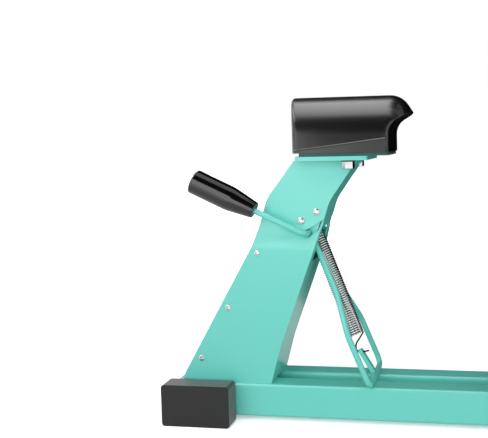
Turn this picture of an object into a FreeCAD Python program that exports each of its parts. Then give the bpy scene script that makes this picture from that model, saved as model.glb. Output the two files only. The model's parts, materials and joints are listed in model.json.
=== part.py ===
"""Cap heat press: a clamshell press for caps, with a wire cap tensioner on its stand.

Millimetres. +X runs from the operator's side to the hinge tower, +Z is up, and Y = 0 is the plane of symmetry.
The pieces are drawn from the front cross foot's middle, with the press closed, and each is then placed so that the
origin is under the middle of the base and the upper arm stands open.
"""
import FreeCAD
import Part
import math
import os
import re

import Sketcher

V = FreeCAD.Vector

SIZES = {
    # base
    "foot_pitch": 500, "foot_wide": 75, "foot_high": 40, "foot_length": 128, "foot_lift": 5,
    "tube_wall": 2.5, "tube_round": 4, "tube_bore_round": 2, "rail_wide": 30, "rail_gap": 20,
    "cap_wall": 4.7, "cap_top": 5, "cap_end": 4.7, "cap_grip": 20, "cap_round": 4, "cap_fit": 0.2,
    # stand
    "body_half": 36.5, "neck_half": 26.5, "shoulder_low": 213, "shoulder_high": 235,
    "plate": 3, "web": 3.2, "cover_top": 221,
    "left_foot_x": -27.6, "left_toe_x": -23, "left_toe_z": 57, "left_toe_round": 12,
    "left_waist_x": 66.5, "left_waist_z": 213, "left_neck_x": 83.2, "left_neck_z": 268.5, "left_top_x": 118,
    "right_foot_x": 85.2, "right_shin_x": 98, "right_shin_z": 90, "right_waist_x": 141, "right_waist_z": 205,
    "right_neck_x": 160, "right_neck_z": 264, "right_top_x": 194.5, "edge_round": 50, "neck_top": 313,
    "window_low": 192, "window_high": 233, "window_half": 20.5,
    "screw_radius": 1.9, "screw_head": 3.5, "screw_head_high": 1.8, "screw_inset": 11, "screw_fit": 0.1,
    "screw_low_z": 74, "screw_mid_z": 137, "screw_high_z": 204,
    "base_plate_thick": 4, "stand_bolt_radius": 4, "stand_bolt_head": 7, "stand_bolt_head_high": 5.3,
    "stand_bolt_front_x": 0, "stand_bolt_back_x": 68, "stand_bolt_inset": 15.5,
    # lower platen
    "flange_start": 123, "flange_end": 209, "flange_half": 43, "flange_thick": 5,
    "seat_start": 127, "seat_end": 233.4, "seat_half": 40.5, "seat_thick": 4,
    "bolt_x": 185.6, "bolt_y": 34.9, "bolt_radius": 4, "bolt_flats": 13.6, "bolt_head_high": 7.6, "bolt_reach": 14,
    "washer_radius": 8, "washer_thick": 1.6,
    "pad_half": 45, "pad_high": 66.6, "pad_arch": 44, "pad_nose_x": 92, "pad_nose_round": 70,
    "pad_corner_x": 124, "pad_back_x": 236.7, "pad_droop_x": 246, "pad_droop_round": 25,
    "beak_x": 259.7, "beak_drop": 21.6, "beak_tip_round": 1.5, "beak_bow": 5.25, "beak_bow_round": 300,
    "beak_corner_round": 6, "cove_drop": 34.1, "cove_round": 20,
    "core_start": 130, "core_end": 226, "core_half": 40, "core_high": 50, "core_arch": 36, "core_fit": 0.2,
    # cap tensioner
    "pivot_x": 133.6, "pivot_z": 226.8, "rod_radius": 3.5, "rod_fit": 0.06, "rod_plane": 42, "rod_bend": 9,
    "lever_angle": 24.8, "grip_start": 67.5, "grip_end": 150, "grip_thin": 9.8, "grip_thick": 14.8,
    "grip_taper": 34, "grip_dome": 8, "grip_socket": 45,
    "bail_angle": 67.6, "bail_half_top": 15.8, "bail_half": 47, "bail_kink_high": 80, "bail_kink_low": 128.3,
    "bail_bend": 5, "bail_corner": 12, "bail_gap": 0.3, "stub_end": 25.6,
    "bracket_thick": 2.5, "slot_wide": 8.5, "slot_angle": 30,
    "bracket_left": 116, "bracket_low": 215, "bracket_right_low": 139.5, "bracket_right": 150,
    "bracket_right_z": 246, "bracket_high": 261,
    "pivot_bolt_x": 125.2, "pivot_bolt_z": 241.1, "pivot_bolt_step": 22,
    "pivot_bolt_radius": 2.5, "pivot_bolt_head": 4.25, "pivot_bolt_head_high": 2.2,
    "anchor_x": 127, "anchor_z": 251.6, "anchor_radius": 2.5,
    "spring_top_x": 134.7, "spring_top_z": 231, "spring_low_x": 184.7, "spring_low_z": 97.6,
    "spring_radius": 8.7, "spring_wire": 0.8, "spring_coils": 50, "spring_spans": 2, "hook_bend": 2,
    "hook_neck_round": 1, "hook_throat_round": 10, "hook_round": 5,
    "hook_x": 190.5, "hook_z": 76, "hook_lean": 14, "hook_back": 5.7, "hook_tip": 9.3, "hook_throat_x": 182.8,
    "hook_throat_z": 85,
    "lug_thick": 5, "lug_half": 4.5, "lug_hole": 2.6,
    # hinge tower
    "hinge_x": 440, "hinge_z": 410, "tower_inner": 32.5, "tower_thick": 6, "tower_base_thick": 5,
    "tower_front": 404, "tower_rear": 482, "tower_top_front": 412, "tower_top_rear": 463, "tower_top": 448,
    "tower_round": 14, "tower_web_x": 455, "tower_web_thick": 4, "tower_web_top": 330,
    "tower_bolt_y": 25, "tower_bolt_inset": 11,
    "hinge_radius": 8, "hinge_reach": 41, "run_fit": 0.06,
    "arm_spring_radius": 10.8, "arm_spring_wire": 1.2, "arm_spring_coils": 3, "arm_spring_leg": 26,
    # upper arm and main lever, closed
    "open_angle": 60, "arm_half": 20, "arm_plate": 5, "arm_tube": 15, "bush_radius": 10, "bush_long": 12,
    "bush_flange": 13, "bush_flange_thick": 1.5,
    "lever_x": 340, "lever_z": 470, "lever_swing": 22.7, "lever_pin": 6, "lever_gap": 1, "lever_plate": 5,
    "handle_x": 146, "handle_z": 478, "handle_radius": 9, "handle_half": 58,
    "sleeve_radius": 14, "sleeve_half": 62,
    "knuckle_x": 381.1, "knuckle_z": 451.7, "link_pin": 5, "link_gap": 1, "link_plate": 5, "link_half": 9,
    "link_swing": 65.1, "link_x": 430, "link_z": 430, "stud_gap": 0.3,
    "arm_front": 152, "arm_low": 436, "arm_high": 462, "arm_round": 8,
    "screw_x": 180, "boss_radius": 13, "pressure_radius": 6, "knob_radius": 17, "knob_high": 20, "knob_z": 470,
    "knob_lobe": 4, "screw_tip": 423,
    # upper platen, closed
    "cap_gap": 3, "hot_thick": 10, "hot_start": 118, "hot_end": 238, "hot_low": 362,
    "element_thick": 2, "layer_gap": 0.3, "pad_thick": 4.6, "shell": 2, "shell_half": 67.5, "shell_top": 416,
    "shell_low": 358, "shell_round": 46, "shell_margin": 4,
    "yoke_half_x": 28, "yoke_thick": 4, "hub_radius": 11, "hub_top": 431, "ear_thick": 4, "ear_gap": 0.5,
    "ear_half": 14, "ear_top": 452, "yoke_screw_x": 20, "yoke_screw_y": 17,
    # control box
    "box_front": 361, "box_back": 401, "box_half": 44, "box_low": 45.3, "box_top": 140, "box_sill": 100,
    "box_brow": 386, "sheet": 2, "panel_window_x": 6, "panel_window_long": 18, "panel_window_half": 21,
    "window_proud": 0.8, "board_drop": 10.4, "board_thick": 1.6, "board_long": 38, "board_half": 34,
    "stud_radius": 2.5, "button_x": -14, "button_step": 15, "button_radius": 3.8, "button_proud": 3,
    "button_travel": 1, "panel_fit": 0.15, "button_collar": 5,
    "port_x": 381, "port_z": 74, "rocker_half_x": 6.5, "rocker_half_z": 10, "rocker_proud": 2.2,
    "rocker_deep": 9, "rocker_fit": 1.2, "inlet_half_x": 13.5, "inlet_half_z": 10, "inlet_proud": 2.4,
    "inlet_deep": 18,
}

doc = FreeCAD.newDocument("CapPress")
sheet = doc.addObject("Spreadsheet::Sheet", "Sizes")
for row, (name, size) in enumerate(SIZES.items(), 1):
    sheet.set(f"A{row}", name)
    sheet.set(f"B{row}", str(size))
    sheet.setAlias(f"B{row}", name)
doc.recompute()

# Lengths that several pieces share, worked out from the sheet.
RAIL_TOP = "(foot_lift + foot_high)"
RAIL_OUTER = "(rail_gap / 2 + rail_wide)"
FLANGE_TOP = "(neck_top + flange_thick)"
SEAT_TOP = "(neck_top + flange_thick + seat_thick)"
PAD_TOP = f"({SEAT_TOP} + pad_high)"
ARCH_Z = f"({PAD_TOP} - pad_arch)"
TOWER_OUTER = "(tower_inner + tower_thick)"
TOWER_FOOT = f"({RAIL_TOP} + tower_base_thick)"
LEVER_INNER = "(arm_half + lever_gap)"
LEVER_OUTER = "(arm_half + lever_gap + lever_plate)"
LINK_INNER = f"({LEVER_OUTER} + link_gap)"
LINK_OUTER = f"({LINK_INNER} + link_plate)"
HOT_INNER = "(pad_arch + cap_gap)"
HOT_OUTER = "(pad_arch + cap_gap + hot_thick)"
ELEMENT_INNER = f"({HOT_OUTER} + layer_gap)"
ELEMENT_OUTER = f"({ELEMENT_INNER} + element_thick)"
INSULATION_INNER = f"({ELEMENT_OUTER} + layer_gap)"
INSULATION_OUTER = f"({INSULATION_INNER} + pad_thick)"
BAIL_LONG = f"((pivot_z - {RAIL_TOP} - rod_radius - bail_gap) / sin(bail_angle))"
PANEL_LEAN = "(atan((box_top - box_sill) / (box_brow - box_front)))"

nodes = {}


def bound(text):
    """The expression with each size's name pointed at the sheet."""
    return re.sub(r"[a-z_]\w*", lambda word: f"Sizes.{word[0]}" if word[0] in SIZES else word[0], str(text))


def value(text):
    """What an expression comes to, as a plain number."""
    found = sheet.evalExpression(bound(text))
    return float(getattr(found, "Value", found))


def bind(item, **texts):
    """Ties each named property of an object to an expression; a double underscore stands for a dot."""
    for name, text in texts.items():
        item.setExpression(name.replace("__", "."), bound(text))
    return item


def corner_arcs(corners, closed):
    """Where each rounded corner's arc starts, ends and has its centre, as numbers."""
    places = [V(value(c[0]), value(c[1]), 0) for c in corners]
    arcs = {}
    for i, corner in enumerate(corners):
        if len(corner) < 3 or not closed and i in (0, len(corners) - 1):
            continue
        here = places[i]
        back = (places[i - 1] - here).normalize()
        ahead = (places[(i + 1) % len(places)] - here).normalize()
        half = back.getAngle(ahead) / 2
        radius = value(corner[2])
        reach = radius / math.tan(half)
        middle = here + (back + ahead).normalize() * (radius / math.sin(half))
        arcs[i] = (here + back * reach, here + ahead * reach, middle, radius)
    return places, arcs


def draw_outline(sketch, corners, closed=True):
    """Lines between corners given as (x, y) or (x, y, round) expressions, with every size bound."""
    places, arcs = corner_arcs(corners, closed)
    count = len(corners)
    runs = count if closed else count - 1
    for i in range(runs):
        j = (i + 1) % count
        start = arcs[i][1] if i in arcs else places[i]
        end = arcs[j][0] if j in arcs else places[j]
        sketch.addGeometry(Part.LineSegment(start, end), False)
    for i in range(count):
        if i not in arcs:
            if closed:
                sketch.addConstraint(Sketcher.Constraint("Coincident", (i - 1) % count, 2, i, 1))
            elif 0 < i < count - 1:
                sketch.addConstraint(Sketcher.Constraint("Coincident", i - 1, 2, i, 1))
            held = (i, 1) if i < runs else (i - 1, 2)
        else:
            start, end, middle, radius = arcs[i]
            left_turn = (start - middle).cross(end - middle).z > 0
            first, last = (start, end) if left_turn else (end, start)
            spin = [math.atan2((p - middle).y, (p - middle).x) for p in (first, last)]
            circle = Part.Circle(middle, V(0, 0, 1), radius)
            arc = sketch.addGeometry(Part.ArcOfCircle(circle, *spin), False)
            ends = (1, 2) if left_turn else (2, 1)
            sketch.addConstraint(Sketcher.Constraint("Tangent", (i - 1) % count, 2, arc, ends[0]))
            sketch.addConstraint(Sketcher.Constraint("Tangent", arc, ends[1], i, 1))
            size = sketch.addConstraint(Sketcher.Constraint("Radius", arc, radius))
            sketch.setExpression(f"Constraints[{size}]", bound(corners[i][2]))
            point = sketch.addGeometry(Part.Point(places[i]), True)
            sketch.addConstraint(Sketcher.Constraint("PointOnObject", point, 1, (i - 1) % count))
            sketch.addConstraint(Sketcher.Constraint("PointOnObject", point, 1, i))
            held = (point, 1)
        for kind, along in (("DistanceX", 0), ("DistanceY", 1)):
            size = sketch.addConstraint(Sketcher.Constraint(kind, -1, 1, *held, places[i][along]))
            sketch.setExpression(f"Constraints[{size}]", bound(corners[i][along]))


def new_sketch(body, plane, offset):
    """A sketch on one of the body's own origin planes, moved along the plane's normal by an expression."""
    found = [o for o in body.Origin.OriginFeatures if o.Role == plane + "_Plane"][0]
    sketch = body.newObject("Sketcher::SketchObject", "Outline")
    sketch.AttachmentSupport = [(found, "")]
    sketch.MapMode = "FlatFace"
    sketch.setExpression("AttachmentOffset.Base.z", bound(offset))
    return sketch


def prism(plane, corners, low, high):
    """A body with one outline padded from low to high along the axis that its plane (XY, XZ or YZ) leaves out."""
    body = doc.addObject("PartDesign::Body", "Prism")
    sketch = new_sketch(body, plane, f"-({high})" if plane == "XZ" else low)
    draw_outline(sketch, corners)
    pad = body.newObject("PartDesign::Pad", "Pad")
    pad.Profile = sketch
    pad.setExpression("Length", bound(f"({high}) - ({low})"))
    return body


def box(low, high):
    """A Part box between two corners given as expressions."""
    item = doc.addObject("Part::Box", "Block")
    sizes = [f"({b}) - ({a})" for a, b in zip(low, high)]
    bind(item, Length=sizes[0], Width=sizes[1], Height=sizes[2])
    return bind(item, Placement__Base__x=low[0], Placement__Base__y=low[1], Placement__Base__z=low[2])


TURNS = {"X": ((0, 1, 0), 90), "Y": ((1, 0, 0), -90), "Z": ((0, 0, 1), 0)}


def rod(axis, radius, start, end, at):
    """A Part cylinder along X, Y or Z from start to end; at gives its other two coordinates in X, Y, Z order."""
    item = doc.addObject("Part::Cylinder", "Rod")
    turn, angle = TURNS[axis]
    item.Placement.Rotation = FreeCAD.Rotation(V(*turn), angle)
    places = list(at)
    places.insert("XYZ".index(axis), start)
    bind(item, Radius=radius, Height=f"({end}) - ({start})")
    return bind(item, Placement__Base__x=places[0], Placement__Base__y=places[1], Placement__Base__z=places[2])


def fuse(*items):
    """The union of objects."""
    whole = doc.addObject("Part::MultiFuse", "Union")
    whole.Shapes = list(items)
    return whole


def cut(base, *tools):
    """What is left of base without the tools."""
    for tool in tools:
        rest = doc.addObject("Part::Cut", "Cut")
        rest.Base, rest.Tool = base, tool
        base = rest
    return base


def common(first, second):
    """What two objects share."""
    shared = doc.addObject("Part::Common", "Common")
    shared.Base, shared.Tool = first, second
    return shared


def group(*items):
    """Separate solids kept as one object."""
    whole = doc.addObject("Part::Compound", "Group")
    whole.Links = list(items)
    return whole


def add_node(name, item, angle=None, point=("0", "0"), target=None):
    """Names a sub-part and places it: turned about Y so that point (x, z) lands on target, then set on the base."""
    holder = group(item) if item.TypeId in ("Part::Box", "Part::Cylinder") else item
    if angle is None:
        bind(holder, Placement__Base__x="-foot_pitch / 2")
    else:
        target = target or point
        holder.Placement.Rotation = FreeCAD.Rotation(V(0, 1, 0), 1)
        across = f"{target[0]} - {point[0]} * cos({angle}) - {point[1]} * sin({angle}) - foot_pitch / 2"
        up = f"{target[1]} + {point[0]} * sin({angle}) - {point[1]} * cos({angle})"
        bind(holder, Placement__Rotation__Angle=angle, Placement__Base__x=across, Placement__Base__z=up)
    holder.Label = name
    nodes[name] = holder
    return holder


HINGE = ("hinge_x", "hinge_z")
LEVER_PIVOT = ("lever_x", "lever_z")
OPEN_LEVER_PIVOT = (
    "(hinge_x + (lever_x - hinge_x) * cos(open_angle) + (lever_z - hinge_z) * sin(open_angle))",
    "(hinge_z - (lever_x - hinge_x) * sin(open_angle) + (lever_z - hinge_z) * cos(open_angle))",
)


def add_arm_node(name, item):
    """A piece that is drawn with the press closed and opens with the upper arm."""
    return add_node(name, item, "open_angle", HINGE)


def add_lever_node(name, item):
    """A piece of the main lever, which opens further than the arm does."""
    return add_node(name, item, "(open_angle + lever_swing)", LEVER_PIVOT, OPEN_LEVER_PIVOT)


def rectangle(low_x, high_x, low_z, high_z, *radius):
    """Corners of a rectangle, each rounded by radius if one is given."""
    return [(low_x, low_z, *radius), (high_x, low_z, *radius), (high_x, high_z, *radius), (low_x, high_z, *radius)]


def tube_outline(low, high, inset="0"):
    """A rounded rectangular tube's outline over the foot's height, or its bore's when inset by the wall."""
    corner = "tube_round" if inset == "0" else "tube_bore_round"
    low_z, high_z = f"foot_lift + {inset}", f"{RAIL_TOP} - {inset}"
    return rectangle(f"{low} + {inset}", f"{high} - {inset}", low_z, high_z, corner)


def bent_rod(points, rounds, radius):
    """A round rod along straight runs joined by tangent arcs, as a shape."""
    edges = []
    start = points[0]
    for i in range(1, len(points) - 1):
        back = (points[i - 1] - points[i]).normalize()
        ahead = (points[i + 1] - points[i]).normalize()
        half = back.getAngle(ahead) / 2
        reach = rounds[i - 1] / math.tan(half)
        middle = points[i] + (back + ahead).normalize() * (rounds[i - 1] / math.sin(half) - rounds[i - 1])
        first, last = points[i] + back * reach, points[i] + ahead * reach
        edges += [Part.LineSegment(start, first).toShape(), Part.Arc(first, middle, last).toShape()]
        start = last
    edges.append(Part.LineSegment(start, points[-1]).toShape())
    path = Part.Wire(edges)
    circle = Part.Wire(Part.Circle(points[0], points[1] - points[0], radius).toShape())
    return path.makePipeShell([circle], True, False)


def shape_object(shape):
    """An object that holds a shape made with Part's own functions."""
    item = doc.addObject("Part::Feature", "Wire")
    item.Shape = shape
    return item


def build_base():
    """Two cross feet of rectangular tube with rubber end caps, joined by two rails."""
    half = "(foot_wide / 2)"
    for name, x in (("front", "0"), ("rear", "foot_pitch")):
        low, high = f"({x} - {half})", f"({x} + {half})"
        outer = prism("XZ", tube_outline(low, high), "-foot_length / 2", "foot_length / 2")
        bore = prism("XZ", tube_outline(low, high, "tube_wall"), "-foot_length / 2 - 1", "foot_length / 2 + 1")
        add_node(f"{name}_foot", cut(outer, bore))
        for side, sign in (("near", -1), ("far", 1)):
            ends = ["(foot_length / 2 - cap_grip)", "(foot_length / 2)", "(foot_length / 2 + cap_end)"]
            inner, wall, outer_end = ends if sign > 0 else [f"(-{e})" for e in ends]
            cap = prism("XZ", rectangle(f"{low} - cap_wall", f"{high} + cap_wall", "0", f"{RAIL_TOP} + cap_top",
                                        "cap_round"), *sorted((inner, outer_end), key=value))
            room = rectangle(f"{low} - cap_fit", f"{high} + cap_fit", "foot_lift - cap_fit",
                             f"{RAIL_TOP} + cap_fit", "tube_round")
            span = (f"{inner} - 1", wall) if sign > 0 else (wall, f"{inner} + 1")
            add_node(f"foot_cap_{name}_{side}", cut(cap, prism("XZ", room, *span)))
    for side, sign in (("near", -1), ("far", 1)):
        low, high = sorted((f"({sign} * rail_gap / 2)", f"({sign} * {RAIL_OUTER})"), key=value)
        outer = prism("YZ", tube_outline(low, high), half, f"foot_pitch - {half}")
        bore = prism("YZ", tube_outline(low, high, "tube_wall"), f"{half} - 1", f"foot_pitch - {half} + 1")
        add_node(f"rail_{side}", cut(outer, bore))


LEFT_EDGE = [
    ("left_foot_x", RAIL_TOP), ("left_toe_x", "left_toe_z", "left_toe_round"),
    ("left_waist_x", "left_waist_z", "edge_round"), ("left_neck_x", "left_neck_z", "edge_round"),
    ("left_top_x", "neck_top"),
]
RIGHT_EDGE = [
    ("right_foot_x", RAIL_TOP), ("right_shin_x", "right_shin_z", "edge_round"),
    ("right_waist_x", "right_waist_z", "edge_round"), ("right_neck_x", "right_neck_z", "edge_round"),
    ("right_top_x", "neck_top"),
]


def moved(corners, x):
    """The same corners moved along X."""
    return [(f"({c[0]} + {x})", *c[1:]) for c in corners]


def half_outline(inset):
    """The stand's outline from the front: a wide body, sloped shoulders and a narrower neck."""
    body, neck = f"body_half - {inset}", f"neck_half - {inset}"
    right = [(body, RAIL_TOP), (body, "shoulder_low"), (neck, "shoulder_high"), (neck, "neck_top")]
    return right + [(f"-({y})", z) for y, z in reversed(right)]


def stand_strip(edge, inward):
    """A bent web that follows one edge of the stand, between its side plates."""
    strip = prism("XZ", edge + moved(edge, inward)[::-1], "-body_half", "body_half")
    return common(strip, prism("YZ", half_outline("plate"), "-foot_wide", "foot_pitch"))


def build_stand():
    """The sheet metal stand: two side plates with a joggle, a back web, a neck web and a screwed front cover."""
    screws = [("screw_low_z", 0), ("screw_mid_z", 1), ("screw_high_z", 2)]
    slope = "((left_waist_x - left_toe_x) / (left_waist_z - left_toe_z))"
    places = [(f"(left_toe_x + ({z} - left_toe_z) * {slope} + screw_inset)", z) for z, _ in screws]
    screw_solids = []
    for side, sign in (("near", -1), ("far", 1)):
        wide = [("body_half", RAIL_TOP), ("body_half", "shoulder_low"), ("neck_half", "shoulder_high"),
                ("neck_half", "neck_top")]
        thin = [(f"({y} - plate)", z) for y, z in wide]
        band = [(f"({sign} * {y})", z) for y, z in wide + thin[::-1]]
        outline = prism("XZ", LEFT_EDGE + RIGHT_EDGE[::-1], "-body_half", "body_half")
        plate = common(outline, prism("YZ", band, "-foot_wide", "foot_pitch"))
        ends = (f"({sign} * (neck_half - 2 * plate))", f"({sign} * (body_half + plate))")
        low, high = sorted(ends, key=value)
        slot_end = rod("Y", "slot_wide / 2", low, high, ("0", "0"))
        slot_run = box(("0", low, "-slot_wide / 2"), ("foot_wide", high, "slot_wide / 2"))
        slot = fuse(slot_end, slot_run)
        slot.Placement.Rotation = FreeCAD.Rotation(V(0, 1, 0), -1)
        bind(slot, Placement__Rotation__Angle="-slot_angle", Placement__Base__x="pivot_x",
             Placement__Base__z="pivot_z")
        holes = [rod("Y", "screw_radius + screw_fit", low, high, place) for place in places]
        holes += [rod("Y", "pivot_bolt_radius + screw_fit", low, high, place) for place in pivot_bolt_places()]
        add_node(f"stand_side_{side}", cut(plate, slot, *holes))
        for place in places:
            face = f"({sign} * body_half)"
            inner = f"({sign} * (body_half - 2 * plate))"
            top = f"({sign} * (body_half + screw_head_high))"
            shank = rod("Y", "screw_radius", *sorted((inner, face), key=value), place)
            head = rod("Y", "screw_head", *sorted((face, top), key=value), place)
            screw_solids.append(fuse(shank, head))
    back = stand_strip(RIGHT_EDGE, "-web")
    window = box(("0", "-window_half", "window_low"), ("foot_pitch", "window_half", "window_high"))
    add_node("stand_back_web", cut(back, window))
    front = stand_strip(LEFT_EDGE, "web")
    upper = box(("-foot_wide", "-body_half", "cover_top"), ("foot_pitch", "body_half", "neck_top"))
    lower = box(("-foot_wide", "-body_half", "0"), ("foot_pitch", "body_half", "cover_top"))
    add_node("neck_front_web", common(front, upper))
    skin = common(front, lower)
    flanges = []
    for sign in (-1, 1):
        sides = (f"({sign} * (body_half - plate))", f"({sign} * (body_half - 2 * plate))")
        lip = prism("XZ", [("left_foot_x + web", f"{RAIL_TOP} + base_plate_thick"),
                           (f"left_foot_x + web + 2 * screw_inset + {slope}", f"{RAIL_TOP} + base_plate_thick"),
                           ("left_waist_x + 2 * screw_inset - web", "left_waist_z - web"),
                           ("left_waist_x - web", "left_waist_z - web")], *sorted(sides, key=value))
        inside = prism("XZ", moved(LEFT_EDGE, "web / 2") + moved(RIGHT_EDGE, "-web")[::-1],
                       "-body_half", "body_half")
        bores = [rod("Y", "screw_radius", "-body_half", "body_half", place) for place in places]
        flanges.append(cut(common(lip, inside), *bores))
    add_node("front_cover", fuse(skin, *flanges))
    add_node("cover_screws", group(*screw_solids))
    plate_top = f"({RAIL_TOP} + base_plate_thick)"
    floor = common(prism("XZ", moved(LEFT_EDGE, "web") + moved(RIGHT_EDGE, "-web")[::-1],
                         "-body_half + plate", "body_half - plate"),
                   box(("-foot_wide", "-body_half", RAIL_TOP), ("foot_pitch", "body_half", plate_top)))
    bolts, holes = [], []
    for x in ("stand_bolt_front_x", "stand_bolt_back_x"):
        for sign in (-1, 1):
            at = (x, f"({sign} * (body_half - stand_bolt_inset))")
            holes.append(rod("Z", "stand_bolt_radius", RAIL_TOP, plate_top, at))
            bolts.append(fuse(rod("Z", "stand_bolt_radius", RAIL_TOP, plate_top, at),
                              rod("Z", "stand_bolt_head", plate_top, f"{plate_top} + stand_bolt_head_high", at)))
    add_node("stand_base_plate", cut(floor, *holes))
    add_node("stand_bolts", group(*bolts))


def hexagon(x, y, flats):
    """Corners of a hexagon seen along Z, from its width across flats."""
    return [(f"({x} + {flats} / sqrt(3) * cos({turn}))", f"({y} + {flats} / sqrt(3) * sin({turn}))")
            for turn in range(0, 360, 60)]


def build_lower_platen():
    """The stand's flange and seat plate, with the moulded platen and its metal core bolted on from below."""
    washer_low = "(neck_top - washer_thick)"
    holes, bolts, washers = [], [], []
    for sign in (-1, 1):
        y = f"({sign} * bolt_y)"
        at = ("bolt_x", y)
        holes.append(rod("Z", "bolt_radius", "neck_top - 1", f"{SEAT_TOP} + bolt_reach", at))
        shank = rod("Z", "bolt_radius", washer_low, f"{SEAT_TOP} + bolt_reach", at)
        head = prism("XY", hexagon("bolt_x", y, "bolt_flats"), f"{washer_low} - bolt_head_high", washer_low)
        bolts.append(fuse(shank, head))
        washers.append(cut(rod("Z", "washer_radius", washer_low, "neck_top", at),
                           rod("Z", "bolt_radius", washer_low, "neck_top", at)))
    add_node("platen_bolts", group(*bolts))
    add_node("platen_washers", group(*washers))
    flange = prism("XY", rectangle("flange_start", "flange_end", "-flange_half", "flange_half", "tube_round"),
                   "neck_top", FLANGE_TOP)
    add_node("platen_flange", cut(flange, *holes))
    seat = prism("XY", rectangle("seat_start", "seat_end", "-seat_half", "seat_half", "tube_round"),
                 FLANGE_TOP, SEAT_TOP)
    add_node("platen_base_plate", cut(seat, *holes))

    def arch(half, top, radius):
        """An arch seen from the front, standing on the seat plate."""
        return [(f"-({half})", SEAT_TOP), (f"-({half})", top, radius), (half, top, radius), (half, SEAT_TOP)]

    core_top = f"({SEAT_TOP} + core_high)"
    core = prism("YZ", arch("core_half", core_top, "core_arch"), "core_start", "core_end")
    add_node("platen_core", cut(core, *holes))
    apex = "(beak_x + beak_bow_round * (1 / cos(atan(beak_bow / pad_half)) - 1))"
    section = prism("YZ", arch("pad_half", PAD_TOP, "pad_arch"), "pad_nose_x", apex)
    side = prism("XZ", [
        ("pad_nose_x", SEAT_TOP), ("pad_nose_x", PAD_TOP), ("pad_droop_x", PAD_TOP, "pad_droop_round"),
        ("beak_x", f"{PAD_TOP} - beak_drop", "beak_tip_round"),
        ("pad_back_x", f"{PAD_TOP} - cove_drop", "cove_round"), ("pad_back_x", SEAT_TOP),
    ], "-pad_half", "pad_half")
    plan = prism("XY", [
        ("pad_corner_x", "-pad_half"), (f"{apex} - beak_bow", "-pad_half", "beak_corner_round"),
        (apex, "0", "beak_bow_round"), (f"{apex} - beak_bow", "pad_half", "beak_corner_round"),
        ("pad_corner_x", "pad_half"), ("pad_nose_x", "0", "pad_nose_round"),
    ], SEAT_TOP, PAD_TOP)
    room = prism("YZ", arch("core_half + core_fit", f"{core_top} + core_fit", "core_arch + core_fit"),
                 "core_start - core_fit", "core_end + core_fit")
    add_node("platen_pad", cut(common(common(section, side), plan), room))


def pivot_bolt_places():
    """The two bolts that hold the pivot bracket, in line with the slot."""
    step_x = "(pivot_bolt_x + pivot_bolt_step * cos(slot_angle))"
    step_z = "(pivot_bolt_z + pivot_bolt_step * sin(slot_angle))"
    return [("pivot_bolt_x", "pivot_bolt_z"), (step_x, step_z)]


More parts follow.
